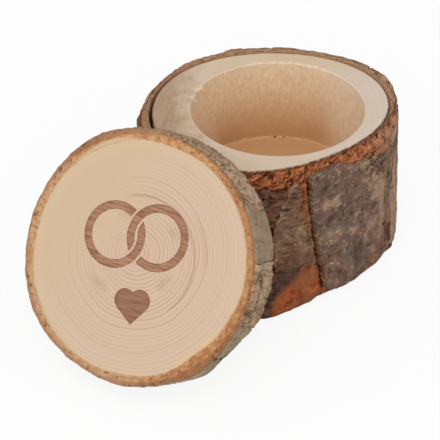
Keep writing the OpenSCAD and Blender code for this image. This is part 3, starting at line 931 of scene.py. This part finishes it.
def bark_finish(name, shift, brown, grey, lichen_and_highlight, stain_and_shade, lichen_share):
    """Outer bark: two base tones in patches, lichen in leaning spots, dark stains and fine grit; the tone
    and dark layers of a scale also lay on painted highlight and painted shade.
    """
    material, tree, output = new_material(name)
    place = layer(tree, "bark_map", "Vector")
    mottle = put(tree, "ShaderNodeGroup", {"Place": place, "Shift": shift}, node_tree=mottle_group)
    colour = two_tone(tree, mottle.outputs["Patch"], 0.36, 0.64, brown, grey)
    tone = layer(tree, "tone")
    spots = between(tree, mottle.outputs["Lichen"], 0.52, 0.61, 0.0, lichen_share)
    spots = times(tree, spots, between(tree, tone, -0.6, 0.5, 0.35, 1.0))
    stains = between(tree, mottle.outputs["Stain"], 0.51, 0.6, 0.0, 0.88)
    stains = times(tree, stains, between(tree, tone, 0.5, -0.6, 0.35, 1.0))
    grit = between(tree, mottle.outputs["Grit"], 0.3, 0.75)
    colour = coated(tree, colour, [
        (between(tree, tone, 0.0, 1.0, 0.0, 0.6), lichen_and_highlight),
        (between(tree, tone, 0.0, -1.0, 0.0, 0.6), stain_and_shade),
        (spots, lichen_and_highlight), (stains, stain_and_shade), (times(tree, grit, 0.42), stain_and_shade),
        (layer(tree, "bare"), (128, 72, 46))])
    sawn_layers = cloud(tree, stretched(tree, place, (1.7, 1.0, 0.7)), 1.0, 5.0, 0.7)
    sawn_colour = two_tone(tree, sawn_layers, 0.36, 0.62, (124, 78, 51), (222, 170, 128))
    colour = blend(tree, layer(tree, "sawn"), colour, sawn_colour)
    # Dark layer: painted shade in cracks, splits, grooves, troughs and seams, with some real stains and
    # specks.
    colour = blend(tree, times(tree, layer(tree, "shade_and_dark_marks"), 0.85), colour, srgb(44, 27, 20))
    height = calc(tree, "MULTIPLY_ADD", mottle.outputs["Lichen"], 0.6, mottle.outputs["Grit"])
    shade(tree, output, colour, height, roughness=0.86, relief=0.34, gloss=0.15)
    return material


grey_bark = bark_finish("grey_bark", 0.0, (134, 98, 81), (121, 103, 89), (204, 171, 138), (60, 43, 37), 0.8)
wrinkled_bark = bark_finish("wrinkled_bark", 13.0, (140, 97, 72), (135, 106, 86), (192, 158, 124),
                            (62, 41, 33), 0.7)
red_bark = bark_finish("red_bark", 29.0, (156, 96, 68), (122, 87, 75), (168, 120, 93), (62, 40, 33), 0.55)
weathered_bark = bark_finish("weathered_bark", 47.0, (138, 104, 82), (142, 120, 99), (180, 152, 120),
                             (80, 61, 51), 0.7)
tan_bark = bark_finish("tan_bark", 59.0, (184, 142, 110), (184, 155, 128), (224, 194, 160), (84, 60, 47),
                       0.65)

box_scales = [
    ("box_bark_front_right", "scale_front_right", plain_skin, to_crack, grey_bark, 0.3, 0.0),
    ("box_bark_front_tongue", "scale_front_tongue", wrinkled_skin, over_crack, wrinkled_bark, 0.28, 0.0),
    ("box_bark_front_wedge", "scale_front_wedge", flaky_skin, beside_tongue, red_bark, 0.28, 0.0),
    ("box_bark_left_front", "scale_left_front", flaky_skin, beside_tongue, red_bark, 0.36, 0.0),
    ("box_bark_left", "scale_left", fissured_skin, as_grown, weathered_bark, 0.42, 0.8),
    ("box_bark_left_back", "scale_left_back", fissured_skin, as_grown, weathered_bark, 0.42, 0.8),
    ("box_bark_back", "scale_back", fissured_skin, as_grown, weathered_bark, 0.42, 0.8),
    ("box_bark_right_back", "scale_right_back", fissured_skin, as_grown, weathered_bark, 0.42, 0.8),
    ("box_bark_right", "scale_right", ridged_skin, worn_right, tan_bark, 0.36, 0.8),
]
thinnest = 0.35
lowest = 0.06
map_depth = 3
for node, name, skin_of, fit_of, finish, grid_size, closer in box_scales:
    scale = even_copy(node, grid_size)
    bark_map = scale.verts.layers.float_vector.new("bark_map")
    shade_and_marks_layer, bare_layer, sawn_layer, tone_layer = new_layers(scale, "shade_and_dark_marks", "bare", "sawn", "tone")
    middle, half_wide = span_of(scale)
    for corner in scale.verts:
        turn = turn_of(corner.co)
        height = corner.co.z
        outward = (corner.co.xy.length - scale_inside(turn)) / scale_thick(turn)
        flat = unrolled(turn, height)
        stand, shade_and_dark_marks, corner[tone_layer] = skin_of(flat, turn, height)
        stand *= 1 - 0.5 * step(height, 36, 40)
        clear_of_plug = step(abs(turn + 118), 14, 24)
        if height > 34:
            stand = min(stand, 0.5 * clear_of_plug)
        corner[bark_map] = flat + Vector((0, 0, map_depth * outward))
        corner[sawn_layer] = step(height, 41.0, 41.6)
        corner[shade_and_marks_layer] = shade_and_dark_marks * step(outward, 0.4, 0.9) * (1 - 0.85 * corner[sawn_layer])
        rubbed = step(above_toe(flat, turn, height), 0.8, -0.8) * step(turn, -60, -66)
        orange_foot = math.exp(-((turn + 18) / 5) ** 2 - ((height - 5.5) / 3.2) ** 2)
        rubbed = max(rubbed, orange_foot * step(rough(flat / 1.6, 3), -0.5, 0.4))
        corner[bare_layer] = max(rubbed, step(outward, 0.6, 0.2))
        ragged = Vector((noise.noise(flat / 1.7), noise.noise(flat / 1.7 + Vector((9.0, 4.0, 2.0))), 0.0))
        out, aside, up = fit_of(turn, height)
        thinned = min(0.0, out + scale_thick(turn) - thinnest)
        reach = corner.co.xy.length - drawn_in(turn, height) + thinned
        reach += (stand + out - thinned) * step(outward, 0.2, 0.9)
        aside += math.degrees(0.35 * ragged.x / flat_radius)
        aside += closer * apart(turn, middle) / half_wide
        up += 0.4 * ragged.y * within(height, 3.0, 8.0, 40.0, 42.0)
        corner.co = spot(reach, turn + aside, max(lowest, height + up))
    piece = bring_in(scale, name, finish)
    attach(piece, "box")
    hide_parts(node)


# Toe: a swollen lump of the soft orange bark at the bottom of the front, where the grey skin has
# broken away. It is rubbed smooth, and a dark stain runs down over its upper left. Its foot along
# the table is painted dark as shade, and its left edge is darker.
toe = even_copy("box_bark_toe", 0.32)
bark_map = toe.verts.layers.float_vector.new("bark_map")
stain_and_shade_layer, = new_layers(toe, "darkened")
for corner in toe.verts:
    turn = turn_of(corner.co)
    height = corner.co.z
    flat = unrolled(turn, height)
    outward = (corner.co.xy.length - scale_inside(turn)) / scale_thick(turn)
    corner[bark_map] = flat + Vector((0, 0, map_depth * outward))
    ragged = 0.7 * noise.noise(flat / 1.2)
    # Painted shade along the foot of the toe, where it meets the table.
    painted_foot_shade = 0.75 * step(height + 0.5 * ragged, 1.1, 0.3)
    darker_left_edge = step(turn + ragged, -87.6, -88.6)
    corner[stain_and_shade_layer] = max(step(above_toe(flat, turn, height), -0.8, 0.8), darker_left_edge, painted_foot_shade)
    lumps = 0.3 * rough(flat / 4.5, 3) + 0.14 * rough(flat / 1.1, 4)
    worn = (1.2 + 1.1 * step(turn, -70, -62)) * step(height, 4.0, 0.0) * step(turn, -84, -70)
    worn += 0.8 * step(height, 9.0, 11.0)
    worn -= 1.55 * step(height, 9.0, 1.0) * step(turn, -80, -92)
    worn += 2.2 * step(turn, -93.5, -97.0)
    worn += 0.95 * max(0.0, cosine(3 * (turn + 92))) * step(height, 4.0, 10.5)
    thinned = min(0.0, scale_thick(turn) - thinnest - worn)
    reach = corner.co.xy.length + thinned + (lumps - worn - thinned) * step(outward, 0.2, 0.9)
    rightward = 1.6 * step(turn, -74, -66)
    upward = (1.2 + 1.8 * step(turn, -72, -66)) * step(height, 7.0, 10.0)
    corner.co = spot(reach, turn + rightward, height + upward)

toe_finish, tree, output = new_material("rubbed_orange_bark")
place = layer(tree, "bark_map", "Vector")
crumbs = bark_crumbs(tree, place, 0.8)
colour = two_tone(tree, cloud(tree, place, 2.2, 6.0, 0.7), 0.3, 0.7, (112, 54, 30), (188, 101, 56))
colour = coated(tree, colour, [
    (between(tree, cloud(tree, place, 3.6, 4.0), 0.42, 0.58, 0.0, 0.65), (144, 94, 58)),
    (between(tree, crumbs.outputs["Dust"], 0.5, 0.7, 0.0, 0.75), (76, 40, 25))])
stain_and_shade_colour = two_tone(tree, cloud(tree, place, 1.6, 5.0, 0.7), 0.3, 0.7, (58, 38, 33), (112, 82, 66))
# The stain over the upper left, painted shade at the foot and a darker left edge.
colour = blend(tree, layer(tree, "darkened"), colour, stain_and_shade_colour)
shade(tree, output, colour, crumbs.outputs["Dust"], roughness=0.85, relief=0.16, gloss=0.14)

toe_piece = bring_in(toe, "orange_toe", toe_finish)
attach(toe_piece, "box")
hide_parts("box_bark_toe")


# Wood of the lid: a slice of the log, sanded on its face, with an ornament burnt into it.
# It is the solid of the frame, with the growth rings of its end grain on it.
lid_middle = (-27.7916, -43.3222, 26.1051)
lid_turned = (math.radians(57), 0.0, math.radians(-28))
lid_thick = 11.5
pith = (-0.4, 1.0, 0.0)

lid_wood_finish, tree, output = new_material("lid_wood_finish")
on_lid = object_place(tree, lid_middle, lid_turned)
place = vector_calc(tree, "SUBTRACT", on_lid, pith)
grain = log_grain(tree, place, 0.95, 1.8)
face_x, face_y, face_z = axes_of(tree, on_lid)
side = calc(tree, "MULTIPLY_ADD", face_y, -0.6, face_x)
side = calc(tree, "MULTIPLY_ADD", cloud(tree, place, 14.0), 22.0, side)
clear = between(tree, side, -12.0, 16.0, 0.14, 1.1)
line = times(tree, grain.outputs["Ring line"], clear)
line = times(tree, line, between(tree, grain.outputs["Radius"], 16.0, 26.0, 1.0, 0.55))
colour = two_tone(tree, side, -14.0, 20.0, (210, 184, 154), (213, 187, 163))
colour = coated(tree, colour, [
    (between(tree, grain.outputs["Radius"], 12.0, 0.0, 0.0, 0.6), (211, 181, 157)),
    (times(tree, grain.outputs["Ring tone"], 0.12), (206, 174, 146)),
    (times(tree, line, 0.56), (184, 146, 119))])
smear_noise = cloud(tree, place, 1.1, 4.0, 0.65)
for smear_x, smear_y, smear_turn in [(-5.4, 9.8, 20), (7.8, 8.4, -40), (-8.2, -8.6, -30), (8.5, -3.8, 60)]:
    feeds = {"Vector": on_lid, "Location": (smear_x, smear_y, lid_thick),
             "Rotation": (0.0, 0.0, math.radians(smear_turn)), "Scale": (3.6, 1.8, 20.0)}
    smear = put(tree, "ShaderNodeMapping", feeds, vector_type="TEXTURE").outputs[0]
    smear = vector_calc(tree, "LENGTH", smear, gives="Value")
    smear = times(tree, between(tree, smear, 1.1, 0.1), between(tree, smear_noise, 0.35, 0.65, 0.1, 0.5))
    colour = blend(tree, smear, colour, srgb(172, 138, 116))
fleck = between(tree, grain.outputs["Pores"], 0.35, 0.75)
colour = blend(tree, times(tree, fleck, 0.12), colour, srgb(180, 145, 112))
across = distance_across(tree, on_lid)
angle = calc(tree, "ARCTAN2", face_y, face_x)
frayed = calc(tree, "MULTIPLY_ADD", cloud(tree, on_lid, 3.0, 4.0, 0.55), 1.1, across)
for inner, outer, start, end, share in [(15.2, 16.2, -0.8, 2.1, 0.5), (17.0, 20.2, 0.0, 0.95, 0.15)]:
    middle, soft = 0.5 * (inner + outer), 0.25
    scar = window(tree, frayed, (inner, middle), (outer, middle))
    scar = times(tree, scar, window(tree, angle, (start, start + soft, 0.0, share), (end, end - soft)))
    colour = blend(tree, scar, colour, srgb(170, 122, 94))
next_to_bark = blend(tree, cloud(tree, on_lid, 1.4, 4.0, 0.65), srgb(184, 128, 80), srgb(214, 170, 122))
low_right = window(tree, angle, (-1.05, -0.75), (-0.35, -0.6))
low_right = times(tree, low_right, between(tree, across, 25.5, 27.8, 0.0, 0.55))
colour = coated(tree, colour, [
    (between(tree, across, 25.6, 28.0, 0.0, 0.25), (219, 190, 148)), (low_right, (222, 188, 138))])
colour = blend(tree, between(tree, frayed, 29.1, 29.35), colour, next_to_bark)
depth = calc(tree, "SUBTRACT", lid_thick, face_z)
burnt = window(tree, depth, (0.06, 0.22), (0.6, 0.5))
burn_grain = cloud(tree, stretched(tree, on_lid, (5.0, 0.45, 5.0)), 1.0, 4.0, 0.65)
burn_colour = two_tone(tree, burn_grain, 0.36, 0.66, (180, 134, 105), (138, 94, 69))
burn_colour = coated(tree, burn_colour, [
    (between(tree, face_y, -5.0, -7.0, 0.0, 0.45), (132, 92, 70))])
colour = blend(tree, burnt, colour, burn_colour)
dullness = between(tree, grain.outputs["Fibre"], 0.2, 0.8, 0.55, 0.68)
height = calc(tree, "SUBTRACT", times(tree, grain.outputs["Pores"], 0.5), line)
shade(tree, output, colour, height, roughness=dullness, relief=0.012, gloss=0.25)
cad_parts["lid_wood"].data.materials.clear()
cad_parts["lid_wood"].data.materials.append(lid_wood_finish)


# Plug: a disc of the same wood, turned to slip into the pocket, with its edges broken, and glued
# under the lid where the pocket comes when the box is shut.
plug_radius = 22.2
plug_thick = 7.0
plug_corners = 160
plug_bevel = 0.5
plug_roll = math.radians(57)
lid_place = Matrix.Translation(Vector(lid_middle))
lid_place = lid_place @ Matrix.Rotation(lid_turned[2], 4, "Z") @ Matrix.Rotation(lid_turned[0], 4, "X")
plug = bmesh.new()
bmesh.ops.create_cone(plug, cap_ends=True, cap_tris=False, segments=plug_corners, radius1=plug_radius,
                      radius2=plug_radius, depth=plug_thick)
rims = [edge for edge in plug.edges if len(edge.link_faces) == 2 and edge.calc_face_angle() > 1.0]
bmesh.ops.bevel(plug, geom=rims, offset=plug_bevel, offset_type="OFFSET", affect="EDGES", segments=4,
                profile=0.5, material=-1)
bmesh.ops.translate(plug, vec=(pocket_middle.x, pocket_middle.y, -plug_thick / 2), verts=plug.verts)
bmesh.ops.rotate(plug, cent=(0, 0, 0), matrix=Matrix.Rotation(plug_roll, 3, "Z"), verts=plug.verts)
bmesh.ops.transform(plug, matrix=lid_place, verts=plug.verts)

plug_finish, tree, output = new_material("plug_wood_finish")
place = object_place(tree, lid_middle, lid_turned)
grain = log_grain(tree, place, 1.4, 3.5)
colour = blend(tree, times(tree, grain.outputs["Ring line"], 0.6), srgb(209, 178, 140), srgb(176, 136, 98))
colour = blend(tree, between(tree, grain.outputs["Fibre"], 0.4, 0.75, 0.0, 0.4), colour,
               srgb(186, 148, 108))
shade(tree, output, colour, grain.outputs["Pores"], roughness=0.6, relief=0.04, gloss=0.25)

plug_piece = bring_in(plug, "lid_plug_turned", plug_finish)
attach(plug_piece, "lid")
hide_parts("lid_plug")


# Inner bark of the lid: a ring of the same soft orange bark, sawn through with the slice, so that
# its cut face shows round the wood as a grainy band with dark pores.
band_corners = 480
band_rings = 10
wood_face_edge = 28.68


def lid_wood_radius(turn):
    return 28.8 + 0.15 * (cosine(2 * (turn + 41)) + 0.7 * cosine(3 * (turn - 9)))


def swell(turn, middle, wide):
    """1 in one direction round the lid, and less and less to both sides of it."""
    return math.exp(-(apart(turn, middle) / wide) ** 2)


def lid_uneven(turn, height):
    """How far the bark of the lid is out of round: full above and below, undercut at the lower right."""
    in_front = step(height, 3.0, 9.0)
    out = 1.0 * swell(turn, 122, 22) + 0.65 * swell(turn, 220, 20) + 0.7 * swell(turn, -48, 9)
    out += in_front * (0.5 * swell(turn, -84, 12) + 0.2 * swell(turn, -66, 8) + 0.3 * swell(turn, -48, 9))
    return max(-0.85, out - (1.2 - 1.8 * in_front) * swell(turn, -33, 14))


def band_edge(share, height):
    def reach(turn):
        thick = 1.4 + 0.7 * lid_uneven(turn, height) - 0.2 * swell(turn, 19, 13) * step(height, 8.5, 10.5)
        return lid_wood_radius(turn) + 0.05 + share * thick
    return reach


def wood_border(turn):
    """Where the pale wood ends on the face of the lid: further out in two places, overgrown in others."""
    out = -0.15 * swell(turn, 20, 13) + 0.95 * swell(turn, 122, 15) + 0.2 * swell(turn, -128, 20)
    out -= 0.6 * swell(turn, 180, 24) + swell(turn, -40, 12)
    out -= 0.45 * swell(turn, -18, 10) + 0.5 * swell(turn, 86, 17)
    return wood_face_edge + out + 0.2 * rough((math.radians(turn) * 14, 2.0, 5.0), 3)


def overgrown(share):
    """A line round the face of the band, from its outer edge to where it ends on the wood."""
    outer = band_edge(1.28, lid_thick)
    return lambda turn: outer(turn) + share * (min(wood_face_edge, wood_border(turn)) - outer(turn))


band, ring = first_ring(band_corners, band_edge(0.0, 0.0), 0.0)
for share, height in [(0.5, 0.0), (1.0, 0.0), (1.0, 3.0), (1.0, 6.0), (1.0, 9.0)]:
    ring = next_ring(band, ring, band_edge(share, height), height)
for share, height in [(1.1, 10.2), (1.25, 10.8), (1.36, 11.15), (1.36, 11.35), (1.28, 11.46)]:
    ring = next_ring(band, ring, band_edge(share, height), height)
for number in range(1, band_rings + 1):
    ring = next_ring(band, ring, overgrown(number / band_rings), 11.52)
ring = next_ring(band, ring, overgrown(1.0), 11.505)
for share, height in [(0.0, 11.49), (0.0, 6.0), (0.0, 0.0)]:
    ring = next_ring(band, ring, band_edge(share, height), height)
bmesh.ops.remove_doubles(band, verts=band.verts, dist=weld_distance)
bark_map = band.verts.layers.float_vector.new("bark_map")
shade_and_marks_layer, pale_layer = new_layers(band, "shade_and_dark_marks", "pale")
for corner in band.verts:
    turn = turn_of(corner.co)
    flat = unrolled(turn, corner.co.xy.length) + Vector((0, 0, corner.co.z))
    corner[bark_map] = flat
    own, edge = flakes(Vector((flat.x, flat.y, 0.0)), 0.9, 0.7, 10)
    pore = step(noise.noise(flat * 1.6), 0.45, 0.62)
    bark_here = step(flat.y - wood_border(turn), -0.05, 0.3)
    corner[shade_and_marks_layer] = pore * step(corner.co.z, 11.0, 11.3) * bark_here
    corner[pale_layer] = (1 - bark_here) * step(corner.co.z, 11.3, 11.5)
    if corner.co.z > 11.2:
        corner.co.z += (0.1 * (own - 0.6) * edge - 0.35 * pore) * step(flat.y, 28.9, 29.4) * bark_here
    if corner.co.z > 9:
        wobble = 0.22 * rough((flat.x / 3.0, 0.0, 8.0), 3)
        corner.co.xy += corner.co.xy.normalized() * wobble * step(corner.co.xy.length, 29.4, 30.4)
bmesh.ops.transform(band, matrix=lid_place, verts=band.verts)

band_finish, tree, output = new_material("sawn_orange_bark")
place = layer(tree, "bark_map", "Vector")
crumbs = bark_crumbs(tree, place, 0.7)
colour = two_tone(tree, cloud(tree, place, 1.6, 5.0, 0.72), 0.34, 0.66, (173, 112, 67), (223, 175, 124))
speck = between(tree, cloud(tree, place, 0.5, 2.0, 0.6), 0.56, 0.66)
colour = coated(tree, colour, [
    (times(tree, crumbs.outputs["Crumb"], 0.3), (200, 148, 98)),
    (between(tree, crumbs.outputs["Dust"], 0.5, 0.76, 0.0, 0.7), (130, 78, 46)),
    (times(tree, speck, 0.5), (132, 78, 44))])
around, across = axes_of(tree, place)[:2]
on_right = window(tree, around, (1.0, 5.0), (22.0, 18.0))
outer_edge = between(tree, across, 29.7, 30.5)
edge_colour = blend(tree, on_right, srgb(128, 80, 54), srgb(150, 88, 60))
colour = blend(tree, times(tree, outer_edge, 0.6), colour, edge_colour)
at_top = window(tree, around, (38.0, 52.0), (74.0, 62.0))
on_left = calc(tree, "MAXIMUM", between(tree, around, -34.0, -46.0), between(tree, around, 70.0, 80.0))
low_right = window(tree, around, (-34.0, -26.0), (-6.0, -14.0))
right_ring = times(tree, between(tree, around, -12.0, -4.0), between(tree, across, 30.2, 29.6))
colour = coated(tree, colour, [
    (times(tree, at_top, 0.15), (232, 182, 140)), (times(tree, on_left, 0.3), (208, 172, 140)),
    (times(tree, low_right, 0.15), (166, 98, 54)),
    (times(tree, right_ring, between(tree, around, 34.0, 24.0, 0.0, 0.3)), (166, 110, 72)),
    (times(tree, layer(tree, "shade_and_dark_marks"), 0.55), (92, 54, 32)),
    (layer(tree, "pale"), (213, 184, 150))])
shade(tree, output, colour, crumbs.outputs["Dust"], roughness=0.8, relief=0.2, gloss=0.15)

band_piece = bring_in(band, "inner_bark_band", band_finish)
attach(band_piece, "lid")
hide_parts("lid_inner_bark")


# Scales of the lid: the same grey outer bark round the slice, thin and lumpy, parted by cracks.
# Their sawn front edge has crumbled back from the face of the lid. Their cracks, pits and seams
# are painted dark as shade, and a dark line runs along the face edge at the lower right.
lid_bark = bark_finish("lid_grey_bark", 71.0, (190, 153, 121), (188, 162, 133), (230, 200, 168),
                       (104, 78, 60), 0.7)
smooth_lid_bark = bark_finish("lid_smooth_bark", 83.0, (160, 137, 110), (166, 146, 121), (206, 185, 158),
                              (122, 101, 80), 0.45)
lid_patches = [(80, 8, 2.5, 1.6, -1.0), (5, 8, 3, 2, -0.9), (-9, 6.5, 6, 4, -0.75), (15, 9, 2, 2, -0.6),
               (54, 6, 10, 6, 0.8), (-3, 4, 4, 2, 0.4), (12, 3, 5, 2, 0.4),
               (-26, 7, 7, 6, 0.2), (-50, 8, 6, 6, 1.0), (70, 7, 6, 5, 0.05)]


def lumpy_edge(flat, height):
    lumps = 0.32 * rough(flat / 4.0, 3) + 0.22 * rough(flat / 1.2, 4)
    pit = step(noise.noise(flat / 0.9), 0.25, 0.55)
    bent = flat + 0.5 * drift(flat / 1.8)
    crack = step(abs(rough((bent.x / 1.7, bent.y / 7.0, 2.0), 2)), 0.12, 0.0)
    tone = in_patches(flat, lid_patches) + 0.6 * rough(flat / 4.0 + Vector((7.0, 2.0, 4.0)), 2) + 0.15
    return lumps - 0.25 * pit - 0.3 * crack, max(0.75 * pit, 0.75 * crack), tone


def smooth_edge(flat, height):
    fine = rough(flat / 1.2, 2)
    split = near_line(flat, (-38.5, 0.0), (-33.5, 11.5), 0.4)
    lumps = 0.16 * rough(flat / 6.0, 2) + 0.05 * fine - 0.35 * split * step(height, 1.0, 5.0)
    streak = rough((flat.x / 1.8, flat.y / 5.0, 9.0), 4)
    tone = in_patches(flat, lid_patches) + 0.5 * streak + 0.1
    shade_and_dark_marks = max(split, 0.25 * step(fine, 0.3, 0.65), 0.3 * step(streak, -0.4, -0.8))
    return lumps + 0.06 * streak, shade_and_dark_marks, tone


lid_scales = [
    ("lid_bark_right", "lid_scale_right", lumpy_edge, lid_bark),
    ("lid_bark_right_upper", "lid_scale_right_upper", smooth_edge, smooth_lid_bark),
    ("lid_bark_top_right", "lid_scale_top_right", lumpy_edge, lid_bark),
    ("lid_bark_top", "lid_scale_top", lumpy_edge, lid_bark),
    ("lid_bark_top_left", "lid_scale_top_left", lumpy_edge, lid_bark),
    ("lid_bark_left_upper", "lid_scale_left_upper", lumpy_edge, lid_bark),
    ("lid_bark_left_lower", "lid_scale_left_lower", lumpy_edge, lid_bark),
    ("lid_bark_bottom_left", "lid_scale_bottom_left", lumpy_edge, lid_bark),
    ("lid_bark_bottom", "lid_scale_bottom", lumpy_edge, lid_bark),
    ("lid_bark_bottom_right", "lid_scale_bottom_right", smooth_edge, smooth_lid_bark),
]
from_lid = lid_place.inverted()
lid_grid_size = 0.27
lid_scale_from = 1.5
lid_scale_thick = 0.8
for node, name, skin_of, finish in lid_scales:
    scale = even_copy(node, lid_grid_size)
    bmesh.ops.transform(scale, matrix=from_lid, verts=scale.verts)
    bark_map = scale.verts.layers.float_vector.new("bark_map")
    shade_and_marks_layer, bare_layer, sawn_layer, tone_layer = new_layers(scale, "shade_and_dark_marks", "bare", "sawn", "tone")
    middle, half_wide = span_of(scale)
    for corner in scale.verts:
        turn = turn_of(corner.co)
        height = corner.co.z
        outward = (corner.co.xy.length - lid_wood_radius(turn) - lid_scale_from) / lid_scale_thick
        flat = unrolled(turn, height)
        stand, shade_and_dark_marks, corner[tone_layer] = skin_of(flat, height)
        corner[bark_map] = flat + Vector((0, 0, map_depth * outward))
        from_middle = apart(turn, middle)
        from_seam = half_wide - abs(from_middle)
        front_line = 0.75 * step(height, 10.3, 11.2) * swell(turn, -36, 20)
        # Painted shade in the seams between the scales; front_line darkens the face edge at the lower
        # right.
        seam = 0.85 * step(from_seam, 0.9, 0.3) * (1 - 0.8 * swell(turn, 14, 5))
        corner[shade_and_marks_layer] = max(shade_and_dark_marks * step(outward, 0.4, 0.9), seam, front_line)
        corner[sawn_layer] = step(height, 10.3, 11.1) * (swell(turn, 0, 14) + 0.6 * swell(turn, 50, 14))
        corner[bare_layer] = step(outward, 0.6, 0.1) * step(height, 10.4, 11.2) * (1 - swell(turn, 19, 13))
        ragged = noise.noise(flat / 1.5)
        worn_face = 0.55 * step(height, 9.9, 11.5)
        stand *= step(from_seam, 0.2, 3.5) * (1 - 0.7 * swell(turn, -95, 28))
        uneven = lid_uneven(turn, height)
        outer_share = step(outward, 0.0, 0.8)
        reach = corner.co.xy.length + 0.7 * uneven + (stand - worn_face + 0.3 * uneven) * outer_share
        wander = 1.3 * noise.noise((turn / 12, height / 2.4, 5.0))
        closer = 0.55 * from_middle / half_wide
        moved_turn = turn + wander + closer + math.degrees(0.3 * ragged / flat_radius)
        back = 0.3 * (0.5 + 0.5 * noise.noise(flat / 1.1 + Vector((3.0, 8.0, 1.0))))
        corner.co = spot(reach, moved_turn, height - back * step(height, 10.5, 11.5))
    bmesh.ops.transform(scale, matrix=lid_place, verts=scale.verts)
    piece = bring_in(scale, name, finish)
    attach(piece, "lid")
    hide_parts(node)
